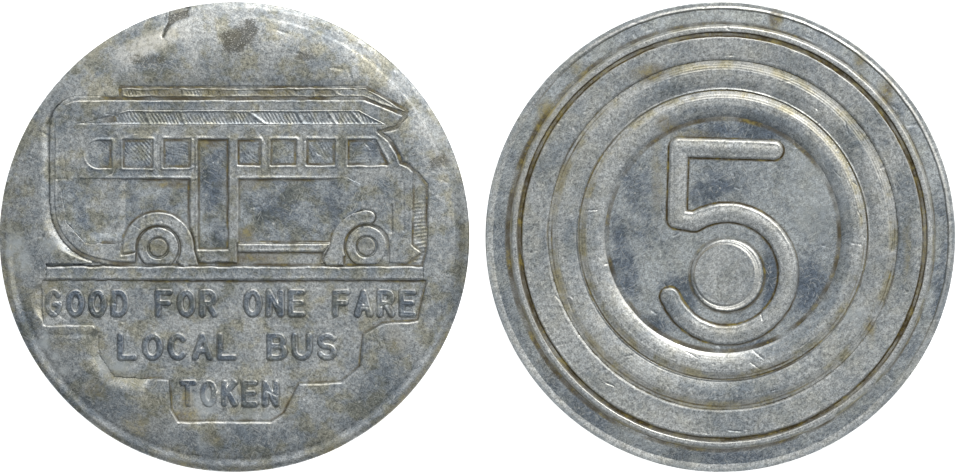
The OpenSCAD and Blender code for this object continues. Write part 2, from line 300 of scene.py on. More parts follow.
# Patches of wear on each side: place, half sizes and strength.
BUS_PLACES = {
    "darkened": 0.42,
    "earthy": 0.7,
    "corroded": [
        (0.5, 10.9, 1.7, 1.0, 1.0), (-5.4, 9.8, 2.1, 0.5, 0.7), (3.9, 10.0, 1.0, 0.5, 0.8),
        (11.4, 4.2, 1.0, 0.6, 0.8), (8.6, -5.2, 0.7, 1.6, 0.5), (7.6, -8.6, 2.4, 1.2, 0.4),
        (-9.9, -6.9, 1.4, 2.2, 0.5), (-2.6, -11.6, 3.2, 0.9, 0.5), (8.6, -3.9, 0.5, 0.9, 0.7),
    ],
    "waxy": [
        (-12.0, -1.0, 0.6, 1.0, 0.9), (-10.4, -0.4, 0.5, 0.5, 0.7), (-10.5, -5.6, 0.35, 0.6, 1.0),
        (-9.5, -7.4, 0.5, 0.3, 1.0), (-9.9, -6.6, 0.3, 0.3, 0.8), (-6.4, -7.2, 1.0, 0.5, 0.8),
        (-1.6, -9.2, 0.6, 0.6, 1.0), (-1.7, -11.4, 0.4, 0.5, 1.0), (1.0, -9.8, 0.8, 0.4, 0.5),
    ],
    "soiled": [
        (-4.0, 7.95, 1.0, 0.3, 1.0), (-0.5, 7.95, 0.8, 0.3, 0.9), (2.0, 7.95, 1.6, 0.3, 1.0),
        (5.0, 8.0, 0.8, 0.3, 1.0), (-3.9, 2.9, 1.0, 0.25, 1.0), (-1.2, 5.2, 0.6, 0.3, 0.9),
        (1.0, -1.2, 1.6, 0.3, 0.9), (-2.9, -9.9, 0.7, 0.4, 0.9), (1.0, 2.9, 1.2, 0.3, 0.5),
        (3.0, -9.2, 0.3, 0.8, 0.8), (-3.6, 8.9, 2.6, 0.7, 0.35), (0.6, 0.1, 0.5, 0.4, 0.8),
        (8.9, -5.6, 0.5, 1.0, 0.8), (-6.6, -8.3, 1.6, 0.4, 0.5), (-10.3, -3.0, 0.6, 1.0, 0.4),
        (-7.4, -8.4, 1.2, 0.8, 0.6), (-4.4, -9.3, 0.8, 1.4, 0.4), (-8.8, -5.9, 1.4, 0.5, 0.4),
        (-5.4, -10.6, 0.8, 0.8, 0.6), (-0.9, -11.1, 0.6, 0.4, 0.7), (-2.7, -8.9, 0.3, 0.6, 0.9),
        (-2.2, 2.7, 0.3, 0.4, 0.8), (-6.5, 3.95, 0.3, 0.25, 0.9), (3.4, 3.95, 0.3, 0.25, 0.9),
    ],
    "tarnished": [
        (-1.2, 2.4, 0.6, 2.6, 0.6), (-6.5, 3.5, 2.2, 0.4, 0.8), (-8.8, 6.2, 1.6, 1.0, 0.5),
        (2.0, 1.4, 1.4, 0.7, 0.4), (-7.4, 1.6, 1.4, 1.2, 0.2), (0.5, -1.9, 8.0, 0.4, 0.4),
        (-1.5, -3.6, 6.0, 1.0, 0.2), (-7.0, -9.4, 2.2, 0.8, 0.7), (0.0, -11.4, 3.4, 0.8, 0.6),
        (8.4, -3.0, 0.7, 0.6, 0.3), (-4.0, 7.4, 3.0, 0.4, 0.6),
        (-3.2, 4.6, 0.6, 0.6, 0.5), (8.2, 2.6, 1.0, 0.8, 0.6), (-4.6, 9.4, 2.4, 0.6, 0.9),
        (-9.6, -9.2, 1.0, 1.2, 0.7), (-11.6, -5.0, 0.5, 1.6, 0.7), (-4.8, -11.2, 1.6, 0.6, 0.6),
        (7.6, -8.0, 2.2, 1.6, 0.3),
    ],
}
NUMERAL_PLACES = {
    "darkened": 0.04,
    "earthy": 0.22,
    "corroded": [
        (-9.0, -7.0, 0.8, 1.2, 0.35), (-11.5, 3.6, 0.5, 1.2, 0.4), (-8.4, 9.0, 0.7, 0.9, 0.4),
    ],
    "waxy": [(5.3, 2.2, 1.2, 2.2, 0.5), (-3.2, 5.9, 0.8, 0.6, 0.4), (7.6, -4.4, 0.6, 0.6, 0.7)],
    "soiled": [
        (8.3, -5.1, 0.4, 0.7, 1.0), (-3.0, 6.2, 0.5, 0.35, 1.0), (-1.5, 5.6, 1.0, 0.3, 0.6),
        (-3.5, 3.0, 0.3, 2.0, 0.5), (-4.0, 9.0, 0.8, 0.5, 0.9), (-7.4, 8.6, 0.5, 0.5, 0.8),
        (0.2, -5.0, 0.6, 0.35, 0.8), (-9.7, 6.4, 0.5, 0.9, 0.8), (3.0, 12.2, 0.35, 0.6, 0.9),
        (-8.0, 9.4, 0.4, 0.6, 0.8), (9.3, 8.0, 0.5, 0.6, 1.0), (-11.0, 2.6, 0.35, 1.6, 0.9),
        (9.8, 6.7, 0.3, 0.5, 0.8), (7.7, 9.8, 0.3, 0.4, 0.8), (10.4, -1.6, 0.3, 2.0, 0.5),
    ],
    "tarnished": [
        (1.8, 6.0, 3.2, 0.5, 1.0), (-0.6, 2.7, 1.3, 0.8, 0.8), (2.7, -2.4, 0.6, 2.4, 1.0),
        (-2.2, -3.6, 1.1, 1.2, 0.9), (-3.4, -5.0, 1.6, 0.9, 1.0), (5.2, -2.6, 1.1, 1.8, 0.9),
        (-5.2, -1.8, 0.7, 2.0, 1.0), (-4.4, 2.4, 1.0, 1.2, 0.6),
        (-3.8, 0.2, 1.2, 1.4, 0.6), (3.0, -6.0, 2.0, 0.5, 0.8),
        (10.3, 1.5, 0.7, 4.5, 0.5), (8.2, 6.2, 1.6, 1.6, 0.8), (0.0, -12.3, 5.0, 0.5, 0.3),
        (-8.6, -8.8, 1.6, 1.6, 0.3), (12.3, -1.0, 0.5, 5.0, 0.8), (-1.0, 8.4, 2.5, 0.6, 0.4),
        (-7.0, 1.0, 0.5, 2.4, 0.5), (-5.2, 3.4, 0.6, 1.2, 0.6), (0.0, -8.7, 3.0, 0.5, 0.4),
    ],
}


def spots(u, v, places, seed):
    """Ragged spots round the given places, from 0 to 1."""
    ragged = cloud(u, v, 1.3, seed, 6)
    total = np.zeros(u.shape)
    for cu, cv, ru, rv, strength in places:
        reach = np.hypot((u - cu) / ru, (v - cv) / rv)
        total = np.maximum(total, strength * smooth(1.1 - reach * 0.7 + ragged * 0.8))
    return total


def nicks(u, v, seed, count, reach):
    """Small dents: how deep each point is struck, in mm, never above 0."""
    rng = np.random.default_rng(seed)
    depth = np.zeros(u.shape)
    for _ in range(count):
        r, turn = reach * math.sqrt(rng.uniform(0.02, 1)), rng.uniform(0, 2 * math.pi)
        at = (r * math.cos(turn), r * math.sin(turn))
        lie, length = rng.uniform(0, math.pi), rng.uniform(0.08, 0.7)
        other = (at[0] + length * math.cos(lie), at[1] + length * math.sin(lie))
        width, deep = rng.uniform(0.04, 0.09), rng.uniform(0.01, 0.035)
        near = (abs(u - at[0]) < length + 0.3) & (abs(v - at[1]) < length + 0.3)
        if near.any():
            far = sd_segment(u[near], v[near], at, other)
            depth[near] -= deep * smooth(1 - far / width)
    return depth


def shared_wear(u, v, side):
    """What wear does to every piece of one side alike: heights, in mm."""
    seed = 100 if side == "bus" else 200
    sway = 0.016 * (cloud(u, v, 4.5, seed, 2) - 1)
    ripple = 0.0035 * (cloud(u, v, 0.7, seed + 10, 3) - 1)
    return sway + ripple + nicks(u, v, seed + 20, 130, EDGE_R * 0.98)


def looks_of(u, v, e, side, low_e, top_e, seam, edge=None, extra=None):
    """The vertex values that the metal's material reads. extra adds to some of them."""
    seed = 300 if side == "bus" else 400
    places = BUS_PLACES if side == "bus" else NUMERAL_PLACES
    height = np.clip((e - low_e) / np.maximum(top_e - low_e, 1e-6), 0, 1)
    soiled = spots(u, v, places["soiled"], seed + 60)
    tarnish = spots(u, v, places["tarnished"], seed + 90)
    looks = {
        "seam": seam,
        "grime": soiled * (1 - 0.7 * height),
        "bright": np.zeros(u.shape) if edge is None else edge,
        "corroded": spots(u, v, places["corroded"], seed),
        "waxy": spots(u, v, places["waxy"], seed + 30),
        "tarnish": places["darkened"] + tarnish,
        "earthy": places["earthy"] + 0 * u,
    }
    for look, more in (extra or {}).items():
        looks[look] = looks[look] + more
    return {look: np.clip(values, -0.5 if look == "tarnish" else 0, 1)
            for look, values in looks.items()}


def flank(s, width):
    """1 inside, 0 outside, across a flank of this width centred on s = 0."""
    return smooth(0.5 - s / width)


# ------------------------------------------------------------------ pieces

pieces = []
# The way the light comes from, towards the upper right. Colour is painted by it: painted
# highlights on slopes that face it, painted shade on the others.
PAINTED_LIGHT_WAY = (0.41, 0.91)


def put(name, data):
    """A new object in the scene."""
    thing = bpy.data.objects.new(name, data)
    bpy.context.scene.collection.objects.link(thing)
    return thing


def add_piece(name, mesh, slot):
    """The piece that takes the place of the CAD node of the same name."""
    piece = put(name, mesh)
    mesh.materials.append(METAL[slot])
    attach(piece, "root")
    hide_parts(name)
    pieces.append(piece)


def facing(u, v, e):
    """How much each point of a lattice leans towards the light, -1 to 1, for painting highlight
    and shade into its colour.
    """
    if u.shape[0] < 3 or u.shape[1] < 3:
        return 0 * u
    du_i, du_j = np.gradient(u)
    dv_i, dv_j = np.gradient(v)
    de_i, de_j = np.gradient(e)
    area = du_i * dv_j - du_j * dv_i
    area = np.where(abs(area) < 1e-9, 1e-9, area)
    slope_u = (de_i * dv_j - de_j * dv_i) / area
    slope_v = (du_i * de_j - du_j * de_i) / area
    return np.clip(-(slope_u * PAINTED_LIGHT_WAY[0] + slope_v * PAINTED_LIGHT_WAY[1]) / 0.35, -1, 1)


def seam_and_edge(u, v, s, width, lean):
    """Dirt along the foot of a flank, kept off slopes that face the light so that it is also
    painted shade, and polish along its top, painted mostly on slopes that face the light as a
    painted highlight.
    """
    lit = lean.clip(0, 1)
    foot = smooth(1.3 - abs(s - width * 0.16) / 0.058) * (1 - 0.85 * lit)
    seam = foot * smooth(0.75 + 0.6 * cloud(u, v, 1.1, 31))
    edge = smooth(1 - abs(s + width * 0.35) / 0.09) * (0.15 + 0.85 * lit)
    return seam, edge * smooth(0.65 + cloud(u, v, 0.9, 41))


def value_at(thing, u, v):
    """A number, or a function of the place."""
    return thing(u, v) if callable(thing) else thing


def raised(name, lattice, shape, side, top_e, width=0.14, base_e=None, surface=None,
           slot="worn_relief", strength=None, burr=0.012, ragged=0.025, roll=None, wear=None):
    """One raised feature of the strike.

    shape gives signed distance, width the breadth of its flank, surface adds
    height on top, strength from 0 to 1 lowers it where the strike was weak, and
    wear gives additions to its looks.
    """
    u, v = lattice.u, lattice.v
    base_e = PANEL_E if base_e is None else value_at(base_e, u, v)
    width = value_at(width, u, v)
    s = shape(u, v) + ragged * cloud(u, v, 0.55, 7, 3)
    rise = flank(s, width)
    uneven = np.clip(0.75 + 1.3 * cloud(u, v, 1.3, 17, 4), 0, 1.6) * value_at(burr, u, v)
    top = top_e + uneven * np.exp(-((s + width * 0.5 + 0.05) / 0.065) ** 2)
    if surface is not None:
        top = top + surface(u, v, s)
    if strength is not None:
        weak = strength(u, v)
        top = base_e + (top - base_e) * weak
        rise = rise * (0.25 + 0.75 * smooth(weak * 2))
    e = (base_e - SINK) + (top - base_e + SINK) * rise + shared_wear(u, v, side)
    if roll is not None:
        e = e + roll(u, v)
    e = np.minimum(e, RELIEF)
    # lean paints highlights on slopes that face the light and painted shade into the dirt on the
    # others.
    lean = facing(u, v, e)
    seam, edge = seam_and_edge(u, v, s, width, lean)
    extra = None if wear is None else wear(u, v, s)
    looks = looks_of(u, v, e, side, base_e, top_e, seam, edge, extra)
    mesh = relief_mesh(name, lattice, e, s < width * 0.5, side, looks)
    add_piece(name, mesh, slot)


def sunken(name, lattice, shape, side, level_e, walls, surface=None, slot="dark_patina",
           wear=None):
    """The flat floor of a sunken panel. walls gives the distance to what rises from it."""
    u, v = lattice.u, lattice.v
    e = level_e + shared_wear(u, v, side)
    if surface is not None:
        e = e + surface(u, v)
    seam = smooth(1.4 - walls(u, v) / 0.11) * smooth(0.65 + 0.7 * cloud(u, v, 1.0, 51)) * 0.9
    extra = None if wear is None else wear(u, v)
    looks = looks_of(u, v, e, side, level_e, level_e + RELIEF, seam, None, extra)
    mesh = relief_mesh(name, lattice, e, shape(u, v) < 0.12, side, looks)
    add_piece(name, mesh, slot)


# ------------------------------------------------------------------ metal

LOOKS = ("seam", "grime", "bright", "corroded", "waxy", "tarnish", "earthy")


def node_of(tree, kind, **values):
    node = tree.nodes.new("ShaderNode" + kind)
    for key, value in values.items():
        if key in node.inputs:
            node.inputs[key].default_value = value
        else:
            setattr(node, key, value)
    return node


class Wire:
    """An output in a node tree, which can be added to, multiplied and remapped."""

    def __init__(self, tree, socket):
        self.tree, self.socket = tree, socket

    def maths(self, operation, other):
        node = node_of(self.tree, "Math", operation=operation)
        feed(self.tree, node.inputs[0], self)
        feed(self.tree, node.inputs[1], other)
        return Wire(self.tree, node.outputs[0])

    def __add__(self, other):
        return self.maths("ADD", other)

    def __mul__(self, other):
        return self.maths("MULTIPLY", other)

    def remap(self, low, high, to_low=0.0, to_high=1.0):
        """From low to high, this runs smoothly from to_low to to_high."""
        node = node_of(self.tree, "MapRange", interpolation_type="SMOOTHSTEP")
        for key, number in (("From Min", low), ("From Max", high), ("To Min", to_low),
                            ("To Max", to_high)):
            node.inputs[key].default_value = number
        feed(self.tree, node.inputs["Value"], self)
        return Wire(self.tree, node.outputs["Result"])


def feed(tree, socket, value):
    """Links a wire to a socket, or sets a number or a colour on it."""
    if isinstance(value, Wire):
        tree.links.new(value.socket, socket)
    else:
        socket.default_value = (*value, 1) if isinstance(value, tuple) else value


def most(*wires):
    """The greatest of several wires."""
    total = wires[0]
    for wire in wires[1:]:
        total = total.maths("MAXIMUM", wire)
    return total


def mix(share, a, b, blend="MIX"):
    """share of b over a; at least one of the three is a wire."""
    tree = next(thing.tree for thing in (share, a, b) if isinstance(thing, Wire))
    node = node_of(tree, "Mix", data_type="RGBA", blend_type=blend)
    feed(tree, node.inputs[0], share)
    feed(tree, node.inputs[6], a)
    feed(tree, node.inputs[7], b)
    return Wire(tree, node.outputs[2])


def mapped(at, stretch, turn):
    """Texture coordinates, stretched and turned."""
    mapping = node_of(at.tree, "Mapping", vector_type="TEXTURE")
    mapping.inputs["Rotation"].default_value = (0, 0, math.radians(turn))
    mapping.inputs["Scale"].default_value = [1 / by for by in stretch]
    feed(at.tree, mapping.inputs["Vector"], at)
    return Wire(at.tree, mapping.outputs[0])


def noise_of(at, per_mm, detail, rough, stretch=(1, 1, 1), turn=0.0):
    """A noise texture with about per_mm features to the millimetre."""
    texture = node_of(at.tree, "TexNoise", Scale=per_mm / MM, Detail=detail, Roughness=rough)
    feed(at.tree, texture.inputs["Vector"], mapped(at, stretch, turn))
    return Wire(at.tree, texture.outputs["Fac"])


def grey_of(wire):
    node = node_of(wire.tree, "CombineColor")
    for socket in node.inputs:
        feed(wire.tree, socket, wire)
    return Wire(wire.tree, node.outputs[0])


def flecks(at, per_mm, reach, share, stretch=(1, 1, 1), turn=0.0):
    """Scattered small marks: one cell in a few holds a mark of this reach."""
    cells = node_of(at.tree, "TexVoronoi", Scale=per_mm / MM)
    feed(at.tree, cells.inputs["Vector"], mapped(at, stretch, turn))
    mark = Wire(at.tree, cells.outputs["Distance"]).remap(reach * 0.55, reach, 1.0, 0.0)
    parts = node_of(at.tree, "SeparateColor")
    feed(at.tree, parts.inputs[0], Wire(at.tree, cells.outputs["Color"]))
    return mark * Wire(at.tree, parts.outputs[0]).maths("GREATER_THAN", 1 - share)


def noises_of(at):
    """The noise textures that the layers of the metal share."""
    return {
        "broad": noise_of(at, 0.32, 3, 0.55),
        "patch": noise_of(at, 1.5, 7, 0.72),
        "fine": noise_of(at, 5.0, 5, 0.75),
        "speck": noise_of(at, 14.0, 3, 0.75),
        "brush": noise_of(at, 2.6, 4, 0.65, (1, 6, 1), 35),
    }


def mottle(at, look, noises, light, dark, darkness):
    """Bare metal under its oxide: the colour, the share of oxide and the grain."""
    oxide = noises["broad"] * 0.35 + noises["patch"] * 0.4 + noises["brush"] * 0.25
    oxide = oxide.remap(0.38, 0.62) * 0.8 + darkness + look["tarnish"] * 0.65
    colour = mix(oxide.remap(0.0, 1.35), light, dark)
    olive = noise_of(at, 0.7, 6, 0.65).remap(0.46, 0.6) * look["earthy"]
    colour = mix(olive, colour, (0.82, 0.75, 0.55), "MULTIPLY")
    grain = noises["fine"] * 0.45 + noises["speck"] * 0.55
    shade = grey_of(grain.remap(0.32, 0.68, 0.38, 1.62))
    return mix(1.0, colour, shade, "MULTIPLY"), oxide, grain


# Sets of hairlines: how many to the mm, their reach, their share, their length and turn.
HAIRLINES = ((1.1, 0.3, 0.25, 12, 25), (1.1, 0.3, 0.25, 12, 118),
             (1.7, 0.32, 0.2, 8, 70), (2.1, 0.3, 0.2, 7, 155))


def scuff(at, look, noises, colour):
    """Hairlines, knocks and polished edges over a colour, and where they are. The polish also
    carries painted highlights.
    """
    hairs = most(*[flecks(at, per_mm, reach, share, (1, length, 1), turn)
                   for per_mm, reach, share, length, turn in HAIRLINES])
    knocks = flecks(at, 3.2, 0.26, 0.12)
    bright = look["bright"] * noises["fine"].remap(0.35, 0.55, 0.3, 1.0)
    worn = most(hairs * 0.45, knocks * 0.5, bright * 0.8)
    return mix(worn, colour, (0.84, 0.83, 0.79)), worn


def soil(look, noises, colour):
    """Pits, wax and dirt over a colour, how much they cover, and where the pits are. The dirt
    along seams also carries painted shade.
    """
    patch, fine, speck = noises["patch"], noises["fine"], noises["speck"]
    ragged = look["corroded"] * 0.46 + fine * 0.55 + patch * 0.35
    pitted = ragged.remap(0.7, 0.84) * speck.remap(0.36, 0.56, 0.5, 1.0)
    colour = mix(pitted * 0.85, colour, (0.085, 0.078, 0.055))
    crumbs = look["corroded"] * speck.remap(0.57, 0.63)
    colour = mix(crumbs, colour, (0.8, 0.79, 0.74))
    wax = look["waxy"] * patch.remap(0.42, 0.58, 0.3, 1.0) * 0.9
    colour = mix(wax, colour, (0.47, 0.51, 0.53))
    dirt = look["grime"] * fine.remap(0.36, 0.54, 0.3, 1.0)
    earth = mix(patch.remap(0.42, 0.58), (0.1, 0.07, 0.014), (0.36, 0.29, 0.085))
    colour = mix(dirt * 0.85, colour, earth)
    seam = look["seam"] * fine.remap(0.34, 0.5, 0.6, 1.0)
    packed = mix(patch.remap(0.5, 0.66), (0.065, 0.044, 0.01), (0.31, 0.24, 0.045))
    colour = mix(seam, colour, packed)
    return colour, most(dirt, seam, wax, pitted * 0.7), pitted


def struck_metal(name, light, dark, darkness, roughness):
    """Worn metal: mottled oxide, grain, hairlines, dirt in hollows, bright edges. The dirt and the
    bright edges also carry painted shade and painted highlights.
    """
    material = bpy.data.materials.new(name)
    material.use_nodes = True
    tree = material.node_tree
    inputs = tree.nodes["Principled BSDF"].inputs
    at = Wire(tree, node_of(tree, "TexCoord").outputs["Object"])
    look = {key: Wire(tree, node_of(tree, "Attribute", attribute_name=key).outputs["Fac"])
            for key in LOOKS}
    noises = noises_of(at)
    colour, oxide, grain = mottle(at, look, noises, light, dark, darkness)
    colour, worn = scuff(at, look, noises, colour)
    colour, covered, pitted = soil(look, noises, colour)
    rough = (grain + oxide * 0.15).remap(0.35, 0.8, roughness - 0.07, roughness + 0.12)
    bump = node_of(tree, "Bump", Strength=0.6, Distance=0.02 * MM)
    feed(tree, bump.inputs["Height"], grain * 0.5 + pitted * -0.8 + worn * -0.12)
    feed(tree, inputs["Base Color"], colour)
    feed(tree, inputs["Metallic"], covered.remap(0.0, 0.8, 0.93, 0.1))
    feed(tree, inputs["Roughness"], rough + covered * 0.3 + worn * -0.12)
    feed(tree, inputs["Normal"], Wire(tree, bump.outputs[0]))
    return material


# For each slot: light and dark colour, how dark the oxide starts, and roughness.
ALLOYS = {
    "struck_metal": ((0.62, 0.63, 0.62), (0.25, 0.285, 0.32), 0.0, 0.4),
    "worn_relief": ((0.67, 0.68, 0.67), (0.3, 0.335, 0.37), -0.08, 0.36),
    "dark_patina": ((0.56, 0.59, 0.6), (0.16, 0.195, 0.245), 0.0, 0.4),
    "soiled_relief": ((0.57, 0.57, 0.52), (0.24, 0.25, 0.24), 0.12, 0.45),
}
METAL = {slot: struck_metal("token_" + slot, *values) for slot, values in ALLOYS.items()}


# ------------------------------------------------------------------ bus side

BUS_OUTLINE = (bend(-8.6, 6.2, 1.4, 1.4, 180, 90)
               + [(7.2, 7.6), (9.4, 6.72), (8.9, 6.1), (7.9, 5.84), (8.54, 5.34), (9.03, 4.54),
                  (9.18, 4.05), (9.58, 3.92), (9.9, 3.6), (9.87, 1.5), (9.82, -0.4),
                  (10.38, -0.87), (9.52, -1.47), (-6.4, -1.42)]
               + bend(-6.9, 1.8, 3.1, 3.1, 255, 180))
# The sunken panel follows the bus at this distance, and is wider ahead of the bonnet.
MOAT = 0.1
AHEAD_OUTLINE = [(9.6, 3.8), (10.15, 3.55), (10.65, 2.9), (10.65, -0.6), (10.4, -1.62),
                 (9.3, -1.62)]
LEGEND_OUTLINE = [(-10.6, -2.42), (10.6, -2.42), (10.15, -4.62), (8.2, -4.78), (7.1, -5.37),
                  (6.94, -7.14), (5.89, -8.02), (3.55, -8.1), (2.74, -9.76), (2, -10.2),
                  (-3.1, -10.2), (-3.51, -9.54), (-3.62, -7.88), (-6.61, -7.65), (-7.39, -6.53),
                  (-7.46, -5.15), (-7.83, -4.84), (-10.5, -4.84)]
GROUND = (-10.9, 10.9, -2.4, -1.6)
RAIL = [(-6.28, 7.72), (7.15, 7.72), (9.35, 6.85), (9.5, 6.98), (7.25, 8.25), (-6.28, 8.25)]
BOARD = [(-9.2, 6.15), (8.6, 6.15), (6.9, 7.05), (-5.94, 7.05)]
WINDOWS = {
    "rear_window": bend(-7.5, 4.575, 0.725, 0.725, 90, 270) + [(-6.84, 3.85), (-6.84, 5.3)],
    "saloon_window_1": corners(-6.15, -4.56, 3.85, 5.35),
    "saloon_window_2": corners(-3.91, -2.47, 3.88, 5.38),
    "saloon_window_3": corners(0.2, 1.42, 4, 5.35),
    "saloon_window_4": corners(2.02, 3.37, 4, 5.35),
    "saloon_window_5": corners(4.01, 5.52, 4, 5.35),
    "driver_window": [(6.28, 4), (8.5, 4), (7.77, 5.35), (6.28, 5.35)],
}
DOOR = (-2, -0.36, -0.67, 5.38)
REAR_WHEEL, FRONT_WHEEL = (-4.22, -0.6), (7.3, -0.52)
GUARD_R, ARCH_R, TYRE_R, HUB_R = 2.0, 1.24, 1.15, 0.58
WHEEL_CUT = -1.52
HATCH_PITCH = 0.17
# For each window, the turn of its hatching in degrees and its height in mm.
PANE_HATCHING = ((60, 0.005), (40, 0.009), (75, 0.004), (50, 0.005), (120, 0.005), (35, 0.006),
                 (90, 0.004))


def sd_pocket(u, v):
    return np.minimum.reduce([sd_polygon(u, v, BUS_OUTLINE, MOAT), sd_polygon(u, v, RAIL, 0.04),
                              sd_polygon(u, v, AHEAD_OUTLINE)])


def sd_legend(u, v):
    return sd_polygon(u, v, LEGEND_OUTLINE)


def sd_ground(u, v):
    return sd_box(u, v, GROUND)


def sd_rear_side(u, v):
    panel = sd_polygon(u, v, bend(-8.6, 2.3, 0.88, 0.88, 180, 90)
                       + [(-2.51, 3.18), (-2.51, -0.3), (-8.2, -0.3), (-9.2, 0.8)])
    return np.maximum(panel, -sd_disc(u, v, REAR_WHEEL, GUARD_R))


def sd_front_side(u, v):
    panel = sd_polygon(u, v, [(0.24, -0.3), (5.5, -0.3), (5.62, 0.5), (6, 1.1), (6.9, 1.55),
                              (6.9, 2.9), (6.3, 3.18), (0.24, 3.18)])
    return np.maximum(panel, -sd_disc(u, v, FRONT_WHEEL, GUARD_R))


def sd_guard(u, v, wheel, start, stop, tail):
    """A band round a wheel between two angles, with a tail."""
    sector = sd_polygon(u, v, [wheel] + bend(*wheel, 2.6, 2.6, start, stop))
    band = np.maximum(sector, sd_disc(u, v, wheel, GUARD_R))
    band = np.minimum(band, sd_polygon(u, v, tail))
    return np.maximum(band, -sd_disc(u, v, wheel, ARCH_R))


def sd_rear_guard(u, v):
    return sd_guard(u, v, REAR_WHEEL, -38, 190,
                    [(-3.22, 0.3), (-2.62, 0.6), (-2.25, -0.6), (-1.95, -1.6), (-3.05, -1.6),
                     (-3.05, -0.9)])


def sd_front_guard(u, v):
    band = sd_guard(u, v, FRONT_WHEEL, 84, 205,
                    [(5.75, 0.38), (6.0, -0.92), (6.05, -1.6), (5.1, -1.6), (4.85, -1.3)])
    tip = sd_segment(u, v, (7.25, 1.12), (7.42, 1.1)) - (GUARD_R - ARCH_R) / 2
    return np.minimum(band, tip)


def sd_arches(u, v):
    """The open space round both wheels, down to the ground line."""
    spaces = []
    for wheel in (REAR_WHEEL, FRONT_WHEEL):
        below = (wheel[0] - ARCH_R, wheel[0] + ARCH_R, wheel[1] - 2, wheel[1])
        spaces += [sd_disc(u, v, wheel, ARCH_R), sd_box(u, v, below)]
    return np.minimum.reduce(spaces)


def sd_step_gap(u, v):
    return sd_polygon(u, v, [(0.15, -1.7), (4.75, -1.7), (4.9, -0.85), (0.15, -0.85)])


def sd_board(u, v):
    return sd_polygon(u, v, [(0.15, -0.85), (4.9, -0.85), (5.35, -0.35), (0.15, -0.35)])


def sd_openings(u, v):
    """Everything that the bus body is open for."""
    openings = [sd_polygon(u, v, outline) for outline in WINDOWS.values()]
    openings += [sd_box(u, v, DOOR), sd_rear_side(u, v), sd_front_side(u, v),
                 sd_arches(u, v), sd_step_gap(u, v), sd_board(u, v),
                 sd_rear_guard(u, v) - 0.02, sd_front_guard(u, v) - 0.02]
    return np.minimum.reduce(openings)


def sd_body(u, v):
    return np.maximum(sd_polygon(u, v, BUS_OUTLINE), -sd_openings(u, v))


def shoulder(u, v):
    """How far the bus side rolls down towards the edge, in mm."""
    r = np.hypot(u, v) + 0.05 * cloud(u, v, 3.0, 64, 3)
    upper_left = np.clip((0.7 * v - 0.7 * u) / 11, 0, 1) ** 2
    roll = np.clip((r - 10.2 + 0.9 * upper_left) / 2.0, 0, 1.4)
    fall = past(r, 12.15, 0.75) * 0.36
    lip = np.clip((r - (EDGE_R - 0.2)) / 0.2, 0, 1)
    return -0.19 * roll ** 1.9 - fall - 0.08 * (1 - np.sqrt(1 - 0.999 * lip ** 2))


CRACK_LINE = [(-3.95, 11.1), (-3.85, 11.4), (-3.6, 11.8), (-3.2, 12.05), (-2.6, 12.25)]


def sd_flake(u, v):
    """The place outside the crack where a flake of metal has gone."""
    return sd_polygon(u, v, [(-3.62, 11.75), (-2.65, 12.2), (-2.45, 12.75), (-3.6, 12.6)])


def crack(u, v):
    """A lamination crack at the upper left, with a flake gone outside it."""
    tail = smooth(1 - sd_line(u, v, CRACK_LINE) / 0.1)
    return -0.11 * np.maximum(tail, smooth(0.5 - sd_flake(u, v) / 0.08))


def worn_behind(u, v):
    """Where the strike has left hardly any wall behind the bus."""
    return before(u, -7.0, 1.0) * past(v, 0.2, 1.5)


def moat_softness(u, v):
    """Where the wall round the bus and the legend has worn to a slope."""
    behind = 0.75 * before(u, -5.2, 1.4) * past(v, -1.6, 1.2) * before(v, 7.6, 1.2)
    legend_end = before(u, -8.0, 1.0) * before(v, -2.5, 0.4) * past(v, -4.9, 1.2)
    legend_step = before(u, -4.2, 0.8) * before(v, -5.0, 0.5)
    return np.maximum.reduce([behind, legend_end, legend_step])


def bus_side_field():
    """The flat field round the sunken panels, out over the shoulder to the edge."""
    outermost = EDGE_R - 0.3
    radii = np.append(np.arange(8.0, outermost, 0.062), np.linspace(outermost, EDGE_R, 12))
    lattice = round_lattice(radii, 1200)
    u, v = lattice.u, lattice.v
    soft = moat_softness(u, v)
    width = 0.17 + 0.9 * soft
    s = -np.minimum(sd_pocket(u, v), sd_legend(u, v)) + 0.04 * cloud(u, v, 0.7, 8, 3)
    s = s + 0.3 * soft
    above_rail = sd_polygon(u, v, RAIL) + 0.02 * cloud(u, v, 0.5, 66)
    dip = -0.04 * smooth(1 - above_rail / 0.6)
    e = (PANEL_E - SINK) + (RELIEF - PANEL_E + SINK) * flank(s, width)
    e = e + shoulder(u, v) + crack(u, v) + dip + shared_wear(u, v, "bus")
    # The seam and edge here hold painted shade and painted highlight, set by how each place faces
    # the light.
    seam, edge = seam_and_edge(u, v, s, width, facing(u, v, e))
    looks = looks_of(u, v, e, "bus", PANEL_E, RELIEF, seam * (1 - soft), edge * (1 - soft),
                     field_wear(u, v))
    under_strip = (abs(u) < 10.4) & (v > GROUND[2] - 0.1) & (v < GROUND[3] + 0.1)
    keep = (s < width * 0.5) & ~under_strip
    mesh = relief_mesh("bus_side_field", lattice, e, keep, "bus", looks, bottom=-0.8)
    add_piece("bus_side_field", mesh, "struck_metal")


